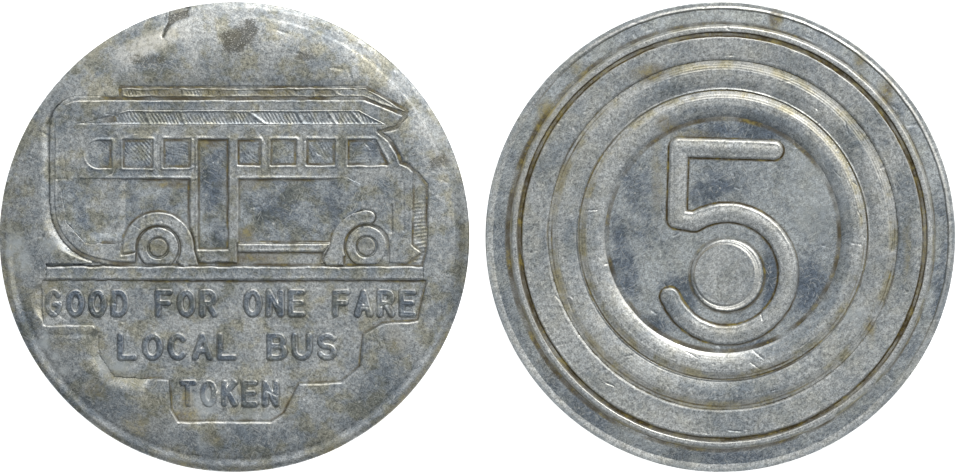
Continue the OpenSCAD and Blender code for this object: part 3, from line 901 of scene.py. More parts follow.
def field_wear(u, v):
    """Dirt at the rim, a dark crack, and a painted highlight along a stretch of the shoulder."""
    r = np.hypot(u, v)
    rim = past(r, EDGE_R - 0.45, 0.3)
    grime = 0.8 * rim * smooth(0.3 + cloud(u, v, 2.0, 62)) * before(v, 2, 6)
    in_crack = np.minimum(sd_flake(u, v), sd_line(u, v, CRACK_LINE) - 0.06)
    cracked = smooth(0.8 - (in_crack + 0.08 * cloud(u, v, 0.3, 65)) / 0.09)
    # A painted highlight: a band along the upper left of the shoulder is painted bright and
    # lighter, where light shines off it.
    brightened = smooth(1.3 - abs(r - 11.7) / 0.6) * smooth(1.3 - abs(u + 0.45 * v) / 2.4) * (v > 0)
    brightened = brightened * smooth(0.6 + 1.2 * cloud(u, v, 1.1, 67, 4)) * (1 - cracked)
    return {"grime": grime, "corroded": cracked, "bright": 0.9 * brightened,
            "tarnish": 0.3 * cracked - 0.9 * brightened}


def hatch(u, v, pitch, turn, depth):
    """Fine uneven ridges, depth mm high, at turn degrees."""
    a = math.radians(turn)
    along = (u * math.cos(a) + v * math.sin(a)) / pitch
    ridges = np.sin(2 * math.pi * (along + 0.5 * cloud(u, v, 0.8, 71, 3)))
    return depth * (ridges * (0.55 + 0.6 * cloud(u, v, 0.5, 72, 2)) - 0.5)


def strip_surface(turn, dividers):
    """A hatched strip inside a raised border, crossed by slanted dividers."""
    def surface(u, v, s):
        inner = before(s, -0.09, 0.07)
        ribs = hatch(u, v, HATCH_PITCH, turn, 0.015) - 0.026
        for a, b in dividers:
            ribs = np.maximum(ribs, 0.008 - 0.35 * sd_segment(u, v, a, b))
        return inner * ribs
    return surface


def board_strength(u, v):
    """The strip over the windows is worn away at its rear end."""
    worn = before(u, -6.0, 0.9) * past(v, 6.2, 0.2)
    return 1 - 0.45 * worn


def roof():
    """The rail on the roof and the strip over the windows, both hatched."""
    slants = [((2.6, 8.3), (3.5, 7.7)), ((5.2, 8.3), (6.0, 7.7)), ((6.4, 8.3), (7.2, 7.7)),
              ((-4.2, 8.3), (-4.1, 7.7)), ((-2.9, 8.3), (-2.8, 7.7)), ((-0.9, 8.3), (-0.7, 7.7))]
    raised("roof_rail", square_lattice((-6.6, 9.8, 6.6, 8.5), 0.03),
           lambda u, v: sd_polygon(u, v, RAIL), "bus", RELIEF - 0.02, width=0.1, burr=0.016,
           surface=strip_surface(20, slants), slot="soiled_relief", ragged=0.06,
           strength=lambda u, v: 0.8 + 0.5 * cloud(u, v, 0.6, 73, 3))
    slants = [((0.6, 7.05), (1.9, 6.1)), ((5.1, 7.05), (5.7, 6.1)), ((6.5, 6.9), (7.2, 6.1)),
              ((-3.0, 7.0), (-2.7, 6.1)), ((-5.0, 7.0), (-4.6, 6.1)), ((3.4, 7.0), (3.9, 6.1))]
    raised("letter_board", square_lattice((-9.5, 8.9, 5.95, 7.25), 0.032),
           lambda u, v: sd_polygon(u, v, BOARD), "bus", RELIEF - 0.015, width=0.1, burr=0.014,
           surface=strip_surface(29, slants), strength=board_strength,
           wear=lambda u, v, s: {"tarnish": 0.5})


def window_pane(name, outline, turn, depth):
    us, vs = zip(*outline)
    box = (min(us) - 0.15, max(us) + 0.15, min(vs) - 0.15, max(vs) + 0.15)
    sunken(name, square_lattice(box, 0.03), lambda u, v: sd_polygon(u, v, outline), "bus",
           BODY_E - 0.04, lambda u, v: -sd_polygon(u, v, outline),
           surface=lambda u, v: hatch(u, v, HATCH_PITCH, turn, depth))


def wheel(name, centre):
    """The tyre and the dished hub of one wheel."""
    def sd_tyre(u, v):
        ring = np.maximum(sd_disc(u, v, centre, TYRE_R), -sd_disc(u, v, centre, HUB_R))
        return np.maximum(ring, WHEEL_CUT - v)

    def dish(u, v, s):
        return -0.02 * smooth(1 - sd_disc(u, v, centre, 0) / 0.3)

    raised(name + "_tyre", square_lattice(around(centre, 1.3), 0.035), sd_tyre, "bus",
           LETTER_E - 0.02, burr=0.003, wear=lambda u, v, s: {"bright": -0.4})
    raised(name + "_hub", square_lattice(around(centre, 0.8), 0.03),
           lambda u, v: sd_disc(u, v, centre, HUB_R - 0.06), "bus", LETTER_E - 0.06, width=0.12,
           surface=dish, burr=0.002,
           wear=lambda u, v, s: {"grime": 0.3, "tarnish": 0.3, "bright": -0.5})


def wheels_and_mudguards():
    wheel("rear", REAR_WHEEL)
    wheel("front", FRONT_WHEEL)
    raised("rear_mudguard", square_lattice((-6.5, -1.7, -1.8, 1.6), 0.035), sd_rear_guard, "bus",
           LETTER_E, width=0.13)
    raised("front_mudguard", square_lattice((4.6, 8.2, -1.8, 1.7), 0.035), sd_front_guard, "bus",
           LETTER_E, width=0.13)


def rough_metal(u, v):
    """The grain of a sunken floor, in mm."""
    return 0.006 * cloud(u, v, 0.25, 81, 2)


def moat_floor(u, v):
    """The floor round the bus: shallow behind, above and ahead of it, and hatched ahead."""
    shallow = np.maximum.reduce([before(u, -5.6, 0.8), past(v, 7.0, 0.4), past(u, 7.6, 0.4)])
    ahead = past(u, 9.85, 0.1) * before(v, 2.6, 0.5)
    depth = 0.075 * shallow + 0.03 * worn_behind(u, v)
    return rough_metal(u, v) + depth + ahead * hatch(u, v, 0.2, 100, 0.02)


def moat_walls(u, v):
    """How far the nearest wall is from a place on the floor round the bus."""
    near = np.minimum(sd_body(u, v).clip(0), (-sd_pocket(u, v)).clip(0))
    return near + 0.3 * worn_behind(u, v)


def worn_rear(u, v):
    """The rear side panel has worn up to the level of the body at its end and its foot."""
    rear = before(u, -6.6, 2.2)
    low = before(u, -5.4, 0.8) * before(v, 0.7, 1.0)
    return rough_metal(u, v) + (BODY_E - PANE_E) * 0.97 * np.maximum(rear, low)


def worn_front(u, v):
    """The front side panel has worn up to the level of the body at its front."""
    return 0.4 * rough_metal(u, v) + (BODY_E + 0.002 - PANE_E) * past(u, 5.0, 1.1)


def sunken_panels():
    sunken("bus_panel", square_lattice((-11.3, 11, -2.0, 8.7), 0.06), sd_pocket, "bus", PANEL_E,
           moat_walls, surface=moat_floor, slot="struck_metal")
    sunken("legend_panel", square_lattice((-10.7, 10.7, -10.5, -2.0), 0.06), sd_legend, "bus",
           PANEL_E, lambda u, v: 0.3 - sd_legend(u, v) + (u > -5) * -0.3, surface=rough_metal,
           slot="struck_metal")
    sunken("rear_side_panel", square_lattice((-9.7, -2.3, -0.5, 3.4), 0.05), sd_rear_side, "bus",
           PANE_E, lambda u, v: -sd_rear_side(u, v) + smooth(-u - 7.2), surface=worn_rear)
    sunken("front_side_panel", square_lattice((0.0, 7.2, -0.5, 3.4), 0.05), sd_front_side, "bus",
           PANE_E, lambda u, v: -sd_front_side(u, v) + past(u, 5.4, 0.8), surface=worn_front)
    sunken("door_panel", square_lattice((-2.2, -0.2, -0.9, 5.6), 0.04),
           lambda u, v: sd_box(u, v, DOOR), "bus", PANE_E - 0.02,
           lambda u, v: -sd_box(u, v, DOOR), surface=rough_metal)


# ------------------------------------------------------------------ legend

# Generic words in plain capitals, each with its left end, baseline, width and height.
LEGEND = [
    ("legend_line_1", "GOOD FOR ONE FARE", (-10.55, -4.45, 20.85, 1.6)),
    ("legend_line_2", "LOCAL BUS", (-6.5, -6.84, 12.4, 1.58)),
    ("legend_line_3", "TOKEN", (-3.05, -9.42, 5.7, 1.55)),
]
LETTER_STROKE = 0.38

GLYPHS = {
    "A": [[(0, 0), (0.5, 1), (1, 0)], [(0.2, 0.32), (0.8, 0.32)]],
    "B": [[(0, 0.52), (0, 1), (0.55, 1)] + bend(0.55, 0.76, 0.36, 0.24, 90, -90) + [(0, 0.52)],
          [(0, 0.52), (0.6, 0.52)] + bend(0.6, 0.26, 0.4, 0.26, 90, -90) + [(0, 0), (0, 0.52)]],
    "C": [bend(0.52, 0.5, 0.5, 0.5, 45, 315, 14)],
    "D": [[(0, 0), (0, 1), (0.42, 1)] + bend(0.42, 0.5, 0.56, 0.5, 90, -90, 12) + [(0, 0)]],
    "E": [[(0.95, 1), (0, 1), (0, 0), (0.95, 0)], [(0, 0.52), (0.8, 0.52)]],
    "F": [[(0.95, 1), (0, 1), (0, 0)], [(0, 0.52), (0.8, 0.52)]],
    "G": [bend(0.52, 0.5, 0.5, 0.5, 45, 345, 14) + [(1.0, 0.45), (0.62, 0.45)]],
    "K": [[(0, 0), (0, 1)], [(0.95, 1), (0, 0.4)], [(0.3, 0.6), (1, 0)]],
    "L": [[(0, 1), (0, 0), (0.95, 0)]],
    "N": [[(0, 0), (0, 1), (1, 0), (1, 1)]],
    "O": [bend(0.5, 0.5, 0.52, 0.5, 0, 360, 18)],
    "R": [[(0, 0), (0, 1), (0.58, 1)] + bend(0.58, 0.74, 0.38, 0.26, 90, -90) + [(0, 0.48)],
          [(0.5, 0.48), (1, 0)]],
    "S": [bend(0.5, 0.75, 0.44, 0.25, 25, 270) + bend(0.5, 0.26, 0.47, 0.26, 90, -155)],
    "T": [[(0, 1), (1, 1)], [(0.5, 1), (0.5, 0)]],
    "U": [[(0, 1), (0, 0.38)] + bend(0.5, 0.38, 0.5, 0.38, 180, 360) + [(1, 1)]],
}


def legend_strokes(text, box):
    """The strokes of a line of text spread evenly over its box, in mm."""
    left, base, width, height = box
    pitch = width / len(text)
    half = LETTER_STROKE / 2
    wide, high = pitch * 0.86 - LETTER_STROKE, height - LETTER_STROKE
    strokes = []
    for n, letter in enumerate(text):
        for stroke in GLYPHS.get(letter, []):
            strokes.append([(left + n * pitch + half + x * wide, base + half + y * high)
                            for x, y in stroke])
    return strokes


def sd_strokes(u, v, strokes):
    """Distance to many strokes, each measured only near itself."""
    total = np.full(u.shape, 1.0)
    for stroke in strokes:
        us, vs = zip(*stroke)
        near = ((u > min(us) - 0.5) & (u < max(us) + 0.5)
                & (v > min(vs) - 0.5) & (v < max(vs) + 0.5))
        total[near] = np.minimum(total[near], sd_line(u[near], v[near], stroke))
    return total - LETTER_STROKE / 2


def letter_strength(u, v):
    """The strike is weak at the left end of the first line and low in the last one."""
    faded = 0.35 * before(u, -9.2, 0.4)
    faded = faded + 0.5 * before(v, -7.6, 0.6) * before(u, 0.4, 1.5)
    return np.clip(1.0 - faded + 0.35 * cloud(u, v, 2.2, 91, 3), 0.2, 1)


def letter_wear(u, v, s):
    """Dark letters with a rubbed outline."""
    rim = smooth(1.2 - abs(s + 0.01) / 0.05) * smooth(0.6 + cloud(u, v, 0.8, 92))
    dark = 0.9 - 0.6 * past(u, 1.0, 3)
    return {"tarnish": dark * smooth(-s / 0.08), "bright": 0.5 * rim, "seam": -0.5}


def legend_line(name, text, box):
    left, base, width, height = box
    strokes = legend_strokes(text, box)
    around_text = (left - 0.4, left + width + 0.4, base - 0.3, base + height + 0.3)
    raised(name, square_lattice(around_text, 0.04), lambda u, v: sd_strokes(u, v, strokes),
           "bus", LETTER_E, strength=letter_strength, burr=0.016, slot="dark_patina",
           wear=letter_wear)


# ------------------------------------------------------------------ bus body

def faded(u, v):
    """Where the strike has left the openings in the body without an edge."""
    rear = before(u, -7.9, 0.6) * past(u, -9.8, 0.2) * before(v, 3.6, 0.6)
    low = before(u, -5.9, 0.5) * before(v, 0.3, 0.4) * past(v, -1.1, 0.3)
    front = past(u, 5.7, 0.5) * past(v, 1.3, 0.3) * before(v, 3.6, 0.3)
    return np.maximum.reduce([rear, low, front])


def body_burr(u, v):
    """The burr is highest round the windows, along the sill and at the windscreen."""
    framed = past(v, 3.55, 0.15) * before(v, 5.75, 0.2) * before(u, 8.3, 0.3)
    sill = smooth(1 - abs(v - 3.25) / 0.2) * past(u, -7.2, 0.8) * before(u, 5.6, 0.6)
    front = past(u, 7.6, 0.3) * before(v, 6.0, 0.3) * past(v, 3.9, 0.3)
    return (0.008 + 0.024 * np.maximum.reduce([framed, sill, front])) * (1 - faded(u, v))


def scored(u, v, s):
    """Lines scored on the bonnet, and the step under the strip over the windows."""
    deep = smooth(1 - sd_segment(u, v, (8.69, 1.75), (8.7, 0.28)) / 0.1)
    faint = smooth(1 - sd_segment(u, v, (9.34, 3.0), (9.36, 1.5)) / 0.08)
    lower = smooth(1 - sd_segment(u, v, (9.36, 0.9), (9.37, 0.35)) / 0.08)
    under_board = smooth(-sd_polygon(u, v, BOARD) / 0.1 - 0.3)
    return -0.05 * deep - 0.025 * np.maximum(faint, lower) - 0.05 * under_board


def ground_line():
    """The strip under the wheels, rounded off at its two ends."""
    raised("ground_line", square_lattice((-11, 11, -2.55, -1.45), 0.05), sd_ground, "bus",
           RELIEF, width=0.16, ragged=0.06,
           roll=lambda u, v: -0.05 * past(abs(u), 10.4, 0.06),
           wear=lambda u, v, s: {"tarnish": 0.25})


def bus_body():
    raised("bus_body", square_lattice((-10.3, 10.7, -1.75, 7.8), 0.045), sd_body, "bus", BODY_E,
           slot="struck_metal", width=0.13, burr=body_burr, surface=scored, ragged=0.035,
           wear=lambda u, v, s: {"seam": -np.maximum(faded(u, v), worn_behind(u, v)),
                                 "bright": -faded(u, v)})
    raised("running_board", square_lattice((-0.1, 5.6, -1.1, -0.1), 0.04), sd_board, "bus",
           LETTER_E, width=0.13)


def bus_side():
    bus_side_field()
    sunken_panels()
    ground_line()
    bus_body()
    roof()
    for (name, outline), (turn, depth) in zip(WINDOWS.items(), PANE_HATCHING):
        window_pane(name, outline, turn, depth)
    wheels_and_mudguards()
    for line in LEGEND:
        legend_line(*line)


# ------------------------------------------------------------------ numeral side

# The strike sits a little off the middle of the blank, and the bead less so.
STRIKE = (0.15, 0.12)
BEAD = (0.1, 0.0)
CENTRE_R = 6.5
# Where the lip rises from the band, and where its top begins to roll over.
LIP_R, ROLL_R = 12.61, 12.66
# The grooves have filled up to here.
GROOVE_E = 0.045
BOSS, BOSS_R = (0.37, -2.11), 2.06
BOSS_TOP, BOSS_TOP_R = (0.25, -2.08), 1.66
BOWL, BOWL_R, NUMERAL_HALF = (0.36, -2.04), 3.4, 0.53


def worn_below(u, v):
    """Where the outer groove has worn shallow and clean."""
    return before(v, -6.8, 1.6)


def turned_rings(u, v, depth):
    """Fine rings that a lathe left in the die."""
    r = np.hypot(u - STRIKE[0], v - STRIKE[1])
    strong = 0.6 + 0.8 * cloud(u, v, 2.0, 122, 3)
    return depth * strong * np.sin(2 * math.pi * r / 0.14 + 2 * cloud(u, v, 3.0, 121, 2))


def ring_piece(name, inner, outer, flanks, feet, dish, slot, top_e=RING_E, centre=STRIKE,
               outer_centre=None, darkened=(0.0, 0.0), filled=(-0.7, -0.7), polish=0.35):
    """A raised ring. flanks and feet give the breadth and the foot of its inner and outer
    side, dish how far each side of its top hangs, darkened how much darker its top is
    painted at the left and at the right (on the inner ring, painted shade on its right),
    filled the dirt along its inner and outer foot, polish how bright its outer slope is."""
    radii = np.arange(inner - flanks[0], outer + flanks[1] / 2 + 0.05, 0.025)
    lattice = round_lattice(radii, 960, centre)
    middle, pivot = (inner + outer) / 2, inner + 0.6 * (outer - inner)
    outer_centre = outer_centre or centre

    def shape(u, v):
        return np.maximum(-sd_disc(u, v, centre, inner), sd_disc(u, v, outer_centre, outer))

    def by_side(pair):
        return lambda u, v: np.where(sd_disc(u, v, centre, middle) < 0,
                                     value_at(pair[0], u, v), value_at(pair[1], u, v))

    def surface(u, v, s):
        r = np.hypot(u - centre[0], v - centre[1])
        inwards = np.clip((pivot - r) / (pivot - inner), 0, 1.15)
        outwards = np.clip((r - middle) / (outer - middle), 0, 1.2)
        slope = smooth(1.4 + s / (flanks[1] / 2)) * (r > middle)
        lines = turned_rings(u, v, 0.0012 + 0.005 * slope)
        return lines - dish[0] * inwards ** 2 - dish[1] * outwards ** 2

    def wear(u, v, s):
        outside = sd_disc(u, v, centre, middle) > 0
        slope = smooth(1.2 + s / (flanks[1] / 2)) * (s > -0.5 * flanks[1]) * outside
        lines = 0.5 + 0.5 * np.sin(2 * math.pi * s / 0.13 + 3 * cloud(u, v, 3.0, 125, 2))
        right = smooth(0.5 + (0.9 * u + 0.4 * v) / 8)
        level = smooth(0.2 - (sd_disc(u, v, outer_centre, outer) + flanks[1]) / 0.25)
        dark = (darkened[0] + (darkened[1] - darkened[0]) * right) * level
        foot = smooth(1.3 + s / 0.06) * smooth(0.7 + cloud(u, v, 1.2, 127))
        foot = foot * (1 - 0.7 * worn_below(u, v))
        # The dirt on the outer slope is heavier at the left, away from the light, which is partly
        # painted shade.
        return {"grime": (0.5 - 0.25 * right) * slope * smooth(0.6 + cloud(u, v, 1.5, 123)),
                "tarnish": dark * smooth(0.8 + cloud(u, v, 1.6, 126)),
                "bright": polish * slope * lines, "earthy": 0.8 * slope,
                "seam": foot * np.where(outside, filled[1], filled[0])}

    raised(name, lattice, shape, "numeral", top_e, width=by_side(flanks), base_e=by_side(feet),
           surface=surface, slot=slot, burr=0.004, ragged=0.02, wear=wear)


def edge_lip():
    """A low lip that rolls over to the wall of the token."""
    radii = np.append(np.arange(12.4, 12.9, 0.025), EDGE_R - 0.1 * np.linspace(1, 0, 8) ** 2)
    lattice = round_lattice(radii, 1080)

    def upper_right(u, v):
        return smooth(0.5 + (0.7 * u + 0.7 * v) / 11)

    def roll(u, v):
        r = np.hypot(u, v) + 0.02 * noise(u, v, 0.8, 131)
        outer = np.clip((r - (EDGE_R - 0.03)) / 0.03, 0, 1)
        return -0.3 * np.clip(r - ROLL_R, 0, 0.12) * upper_right(u, v) - 0.1 * outer ** 2

    def wear(u, v, s):
        r = np.hypot(u, v)
        outside = past(r, 12.8, 0.05)
        line = smooth(1.2 - abs(r - 12.74) / 0.06) * smooth(0.7 + cloud(u, v, 0.9, 133))
        # The bright line is painted only towards the upper right: a painted highlight where the
        # lip faces the light. At the lower left the polish is painted out.
        return {"tarnish": 0.5 * outside, "waxy": 0.3 * outside, "seam": -0.4 + 0 * u,
                "bright": 0.6 * line * upper_right(u, v) - outside - 1 + upper_right(u, v)}

    def worn_away(u, v, s):
        kept = np.clip(upper_right(u, v) + 0.25 * cloud(u, v, 2.5, 132), 0.1, 0.6)
        return (RELIEF - BAND_E) * (kept - 1) - 0.03 * (1 - upper_right(u, v))

    raised("edge_lip", lattice, lambda u, v: LIP_R - np.hypot(u, v), "numeral", RELIEF,
           width=lambda u, v: 0.12 + 0.45 * (1 - upper_right(u, v)), base_e=BAND_E,
           surface=worn_away, burr=0.004, roll=roll, wear=wear)


def sd_numeral(u, v):
    """The numeral 5, as one stroke with a nearly square upper left corner."""
    stroke = ([(2.95, 4.79), (-2.3, 4.95), (-2.42, 0.98)]
              + bend(*BOWL, BOWL_R, BOWL_R, 122, 0, 14)
              + bend(*BOWL, BOWL_R, BOWL_R, 0, -158, 16)[1:])
    return sd_line(u, v, stroke) - NUMERAL_HALF


def rings():
    level, filled_up = RING_E + 0.02, RING_E - 0.02

    def deep(u, v):
        """The floor of the outer groove."""
        return GROOVE_E + 0.02 + 0.035 * worn_below(u, v)

    ring_piece("bead_ring", 11.33, 11.72, (0.12, 0.24), (deep, BAND_E + 0.01), (0.0, 0.03),
               "worn_relief", top_e=RELIEF, centre=BEAD, darkened=(-0.8, -1.2), filled=(0.8, -0.7),
               polish=0.8)
    ring_piece("outer_ring", 9.74, 11.12, (0.13, 0.18), (level, deep), (0.01, 0.0),
               "struck_metal", outer_centre=BEAD, darkened=(0.35, 0.1), filled=(-0.7, 1.2),
               polish=0.2)
    ring_piece("middle_ring", 8.1, 9.4, (0.13, 0.55), (level, filled_up), (0.065, 0.01),
               "struck_metal", darkened=(0.4, 0.1))
    # The inner ring's top is painted darker at the right: painted shade where its top slopes away
    # from the light.
    ring_piece("inner_ring", CENTRE_R, 7.75, (0.34, 0.45), (PANEL_E + 0.01, filled_up),
               (0.12, 0.0), "worn_relief", darkened=(0.0, 1.1), filled=(0.5, -0.8), polish=0.25)


def rim_band():
    """The low band between the bead and the lip."""
    def wear(u, v):
        lower = smooth(0.4 - (0.3 * u + 0.95 * v) / 9)
        return {"corroded": 0.4 * lower, "tarnish": 0.3 * lower}

    band = round_lattice(np.arange(11.6, 12.85, 0.06), 1080)
    sunken("rim_band", band, lambda u, v: sd_ring(u, v, 11.75, 12.68), "numeral", BAND_E,
           lambda u, v: -sd_ring(u, v, 11.82, 12.8), wear=wear,
           surface=lambda u, v: 0.045 * np.clip((12.0 - np.hypot(u, v)) / 0.7, -1, 0))


def dirty(u, v):
    """Dirt along the numeral, left out along its top and round the outside of its bowl, the sides
    that face the light, so that it is also painted shade on the others.
    """
    outer = past(sd_disc(u, v, BOWL, BOWL_R), 0, 0.2) * before(v, 1.2, 0.5) * past(u, -1.5, 1.0)
    clean = np.maximum(outer, past(v, 4.95, 0.2))
    return (1 - 0.8 * clean) * smooth(0.85 + cloud(u, v, 1.0, 116))


def field_walls(u, v):
    """How far the nearest wall is from a place on the centre field."""
    rising = np.minimum(sd_numeral(u, v), sd_disc(u, v, BOSS, BOSS_R))
    return np.minimum(-sd_disc(u, v, STRIKE, CENTRE_R - 0.1), rising.clip(0))


def centre_field():
    def wear(u, v):
        return {"seam": dirty(u, v) * smooth(1.4 - sd_numeral(u, v).clip(0) / 0.09)}

    sunken("centre_field", square_lattice((-6.7, 6.9, -6.7, 6.9), 0.05),
           lambda u, v: sd_disc(u, v, STRIKE, CENTRE_R), "numeral", PANEL_E, field_walls,
           surface=lambda u, v: 0.004 * cloud(u, v, 0.6, 111, 3), wear=wear)


def numeral_five():
    def wear(u, v, s):
        # The right of the bowl is painted lighter: a painted highlight where it faces the light.
        return {"seam": 0.9 * dirty(u, v) * smooth(1.2 - abs(s - 0.02) / 0.07),
                "tarnish": -0.5 * past(u, 2.0, 1.0)}

    raised("numeral_five", square_lattice((-3.8, 4.8, -6.4, 5.9), 0.04), sd_numeral, "numeral",
           RELIEF, width=0.2, surface=lambda u, v, s: -0.045 * smooth(1 + s / 0.5), wear=wear)


def target_boss():
    """A flat top with a turned bevel round it, which rises outwards in its lower half."""
    def bevel(u, v, s):
        out = sd_disc(u, v, BOSS_TOP, BOSS_TOP_R)
        ridge = 0.006 * np.exp(-(out / 0.05) ** 2)
        lines = 0.006 * smooth(out / 0.1) * np.sin(2 * math.pi * out / 0.13)
        along = np.clip(out / 0.4, 0, 1)
        below = smooth((BOSS[1] - v) / BOSS_R * 1.4)
        step = (1 - below) * -0.07 * along + below * (0.05 * along - 0.075 * smooth(4 * along))
        return lines + ridge + step

    def wear(u, v, s):
        out = sd_disc(u, v, BOSS_TOP, BOSS_TOP_R)
        band = smooth(out / 0.05 + 0.5) * before(out, 0.4, 0.1)
        lower_right = (0.8 * (u - BOSS[0]) - 0.6 * (v - BOSS[1])) / BOSS_R
        lines = 0.6 + 0.4 * np.sin(2 * math.pi * out / 0.13)
        # The bevel's lower right is painted bright and lighter: a painted highlight that stands in
        # for a reflection of the light. Its upper left gets dirt.
        return {"bright": 1.2 * band * lines * smooth(0.5 + lower_right),
                "tarnish": 0.35 - 1.2 * band * smooth(0.5 + lower_right),
                "seam": band * smooth(-0.1 - lower_right) * smooth(0.8 - out / 0.3)}

    raised("target_boss", square_lattice((-2.1, 2.9, -4.6, 0.4), 0.035),
           lambda u, v: sd_disc(u, v, BOSS, BOSS_R - 0.04), "numeral", RELIEF - 0.01,
           surface=bevel, wear=wear)


def numeral_side():
    edge_lip()
    rings()
    rim_band()
    centre_field()
    numeral_five()
    target_boss()


# ------------------------------------------------------------------ blank

WALL_R = EDGE_R - 0.002
STEPS_ROUND = 1080


def blank_profile():
    """Radius and z from the middle of the underside, up the wall, to the middle of the top."""
    under = [(r, BUS_FACE + 0.12) for r in (2.0, 5.0, 8.0, 10.0)]
    shoulder_back = [(11.0, 0.55), (12.3, 0.75)]
    wall = [(WALL_R, z) for z in np.linspace(0.85, THICK - 0.34, 14)]
    under_lip = [(12.9, THICK - 0.36)]
    top = [(r, NUMERAL_FACE) for r in np.arange(12.5, 7.0, -0.05)]
    middle = [(r, NUMERAL_FACE) for r in (6.5, 5.0, 3.0, 1.5)]
    return np.array(under + shoulder_back + wall + under_lip + top + middle)


def turned_mesh(name, points):
    """A closed mesh of rows of points, each row a circle, in mm."""
    rows, steps = points.shape[:2]
    i, j = np.meshgrid(np.arange(rows - 1), np.arange(steps), indexing="ij")
    i, j, j2 = i.ravel(), j.ravel(), (j.ravel() + 1) % steps
    faces = np.stack([i * steps + j, i * steps + j2, (i + 1) * steps + j2, (i + 1) * steps + j], 1)
    ends = [list(range(steps))[::-1], list(range((rows - 1) * steps, rows * steps))]
    mesh = bpy.data.meshes.new(name)
    mesh.from_pydata((points.reshape(-1, 3) * MM).tolist(), [], faces.tolist() + ends)
    mesh.polygons.foreach_set("use_smooth", np.ones(len(mesh.polygons), bool))
    return mesh


def blank():
    """The planchet: its wall shows all round, and its top in the grooves."""
    turn = np.arange(STEPS_ROUND) * 2 * math.pi / STEPS_ROUND
    profile = blank_profile()
    r = profile[:, :1]
    z = profile[:, 1:] + 0 * turn
    u, v, along = r * np.cos(turn), r * np.sin(turn), turn * EDGE_R + 0 * r
    on_wall = (r > EDGE_R - 0.05) * 1.0
    on_top = (z >= NUMERAL_FACE) * 1.0
    swell = 0.004 * (cloud(along, 3 * z, 1.2, 6, 3) - 1)
    scale = 1 + on_wall * (nicks(along, z, 5, 60, EDGE_R) + swell) / EDGE_R
    filled = GROOVE_E * past(r, 7.2, 0.2) * before(r, 11.6, 0.15)
    z = z + on_top * (filled + shared_wear(u, v, "numeral") + turned_rings(u, v, 0.004))
    mesh = turned_mesh("blank", np.stack([u * scale, v * scale, z], -1))

    groove_dirt = on_top * (0.35 + 0.65 * smooth(0.5 + 0.9 * cloud(u, v, 1.6, 113)))
    by_bead = past(r, 11.0, 0.1) * on_top
    groove_seam = on_top * smooth(0.55 + 0.9 * cloud(u, v, 1.8, 115)) * (0.7 + 0.3 * by_bead)
    edge_dirt = on_wall * smooth(0.1 + 0.9 * cloud(along, z * 2, 1.8, 114))
    looks = looks_of(u, v, z * 0 + on_wall, "numeral", 0, 1, groove_seam, None,
                     {"grime": groove_dirt + edge_dirt})
    for look, values in looks.items():
        add_look(mesh, look, values.ravel())
    mesh.update()
    add_piece("blank", mesh, "struck_metal")


blank()
bus_side()
numeral_side()

# ------------------------------------------------------------------ stage

# A turned-over copy beside the token shows its bus side. It is staging, like the floor.
COPY_OFFSET = 26.88 * MM
# How bright the sky is overhead, away from the glow, and in the glow.
SKY_TOP, SKY_DARK, SKY_GLOW = 0.4, 0.11, 1.05
# Where the light comes from: degrees round from the right, towards the top of the designs.
LIGHT_TURN = 66
# The picture is a little wider than the two discs, and its middle lies near the gap.
PICTURE_WIDTH = 2.04468 * 2 * EDGE_R * MM
PICTURE_MIDDLE = -COPY_OFFSET / 2 + 0.17 * MM


def turned_over_copy():
    flip = put("turned_over_copy", None)
    flip.matrix_world = (Matrix.Translation((-COPY_OFFSET, 0, THICK * MM))
                         @ Matrix.Rotation(math.pi, 4, "Y"))
    for piece in pieces:
        twin = put(piece.name + "_shown_turned", piece.data)
        twin.parent = flip


def floor():
    """A plain white lit table, a little luminous so that shadows on it stay pale."""
    mesh = bpy.data.meshes.new("studio_floor")
    half = 1.5
    mesh.from_pydata([(x, y, 0) for x, y in corners(-half, half, -half, half)], [],
                     [(0, 1, 2, 3)])
    material = bpy.data.materials.new("studio_floor")
    material.use_nodes = True
    shader = material.node_tree.nodes["Principled BSDF"]
    shader.inputs["Base Color"].default_value = (0.93, 0.93, 0.93, 1)
    shader.inputs["Roughness"].default_value = 0.9
    shader.inputs["Emission Color"].default_value = (1, 1, 1, 1)
    shader.inputs["Emission Strength"].default_value = 0.9
    mesh.materials.append(material)
    put("studio_floor", mesh)


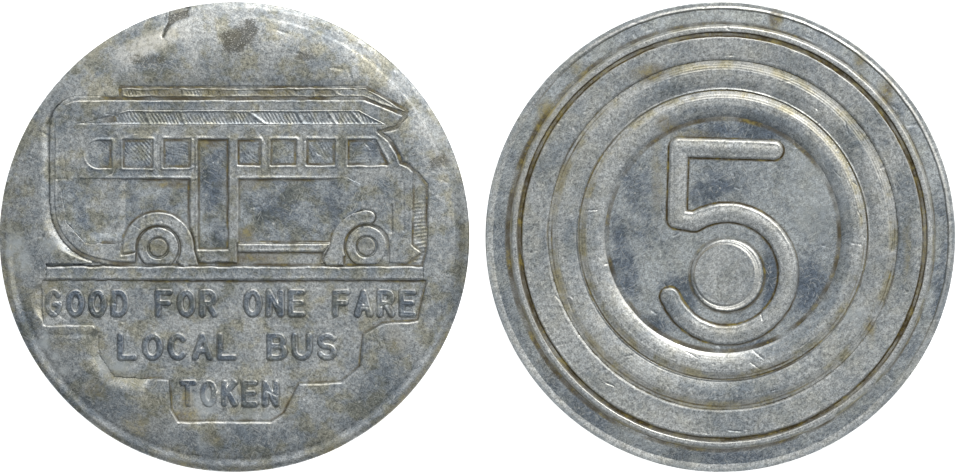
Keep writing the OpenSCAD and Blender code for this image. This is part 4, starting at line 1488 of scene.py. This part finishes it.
def toward(azimuth, tilt):
    """A direction, tilt degrees off the vertical."""
    a, t = math.radians(azimuth), math.radians(tilt)
    return Vector((math.sin(t) * math.cos(a), math.sin(t) * math.sin(a), math.cos(t)))


def sky():
    """Dim overhead, bright over the upper right, and pale all round the horizon."""
    world = bpy.data.worlds.new("studio")
    world.use_nodes = True
    tree = world.node_tree
    background = tree.nodes["Background"].inputs
    way = Wire(tree, node_of(tree, "TexCoord").outputs["Generated"])
    dot = node_of(tree, "VectorMath", operation="DOT_PRODUCT")
    feed(tree, dot.inputs[0], way)
    dot.inputs[1].default_value = toward(LIGHT_TURN, 50)
    along = Wire(tree, dot.outputs["Value"])
    parts = node_of(tree, "SeparateXYZ")
    feed(tree, parts.inputs[0], way)
    up = Wire(tree, parts.outputs["Z"]).remap(0.05, 0.25)
    dome = along.remap(0.66, 0.98, 0.0, SKY_GLOW) + along.remap(-0.6, 0.66, SKY_DARK, SKY_TOP)
    feed(tree, background["Strength"], dome * up + (up * -1 + 1) * 0.85)
    warm = along.remap(0.6, 0.95)
    feed(tree, background["Color"], mix(warm, (0.9, 0.96, 1.0), (1.0, 0.985, 0.94)))
    bpy.context.scene.world = world


def key_light():
    """A round, slightly warm area light that looks at the two discs."""
    light = bpy.data.lights.new("key", "AREA")
    light.shape = "DISK"
    light.size = 0.3
    light.energy = 1.3
    light.color = (1.0, 0.98, 0.94)
    lamp = put("key", light)
    away = toward(LIGHT_TURN, 42)
    lamp.location = away * 0.7 + Vector((-COPY_OFFSET / 2, 0, 0))
    lamp.rotation_euler = away.to_track_quat("Z", "Y").to_euler()


def camera():
    """Straight down on both discs, with the token in the right half."""
    lens = bpy.data.cameras.new("camera")
    lens.type = "ORTHO"
    lens.ortho_scale = PICTURE_WIDTH
    lens.clip_end = 5
    eye = put("camera", lens)
    eye.location = (PICTURE_MIDDLE, 0, 0.3)
    bpy.context.scene.camera = eye


turned_over_copy()
floor()
sky()
key_light()
bpy.context.scene.view_settings.view_transform = "Standard"
camera()
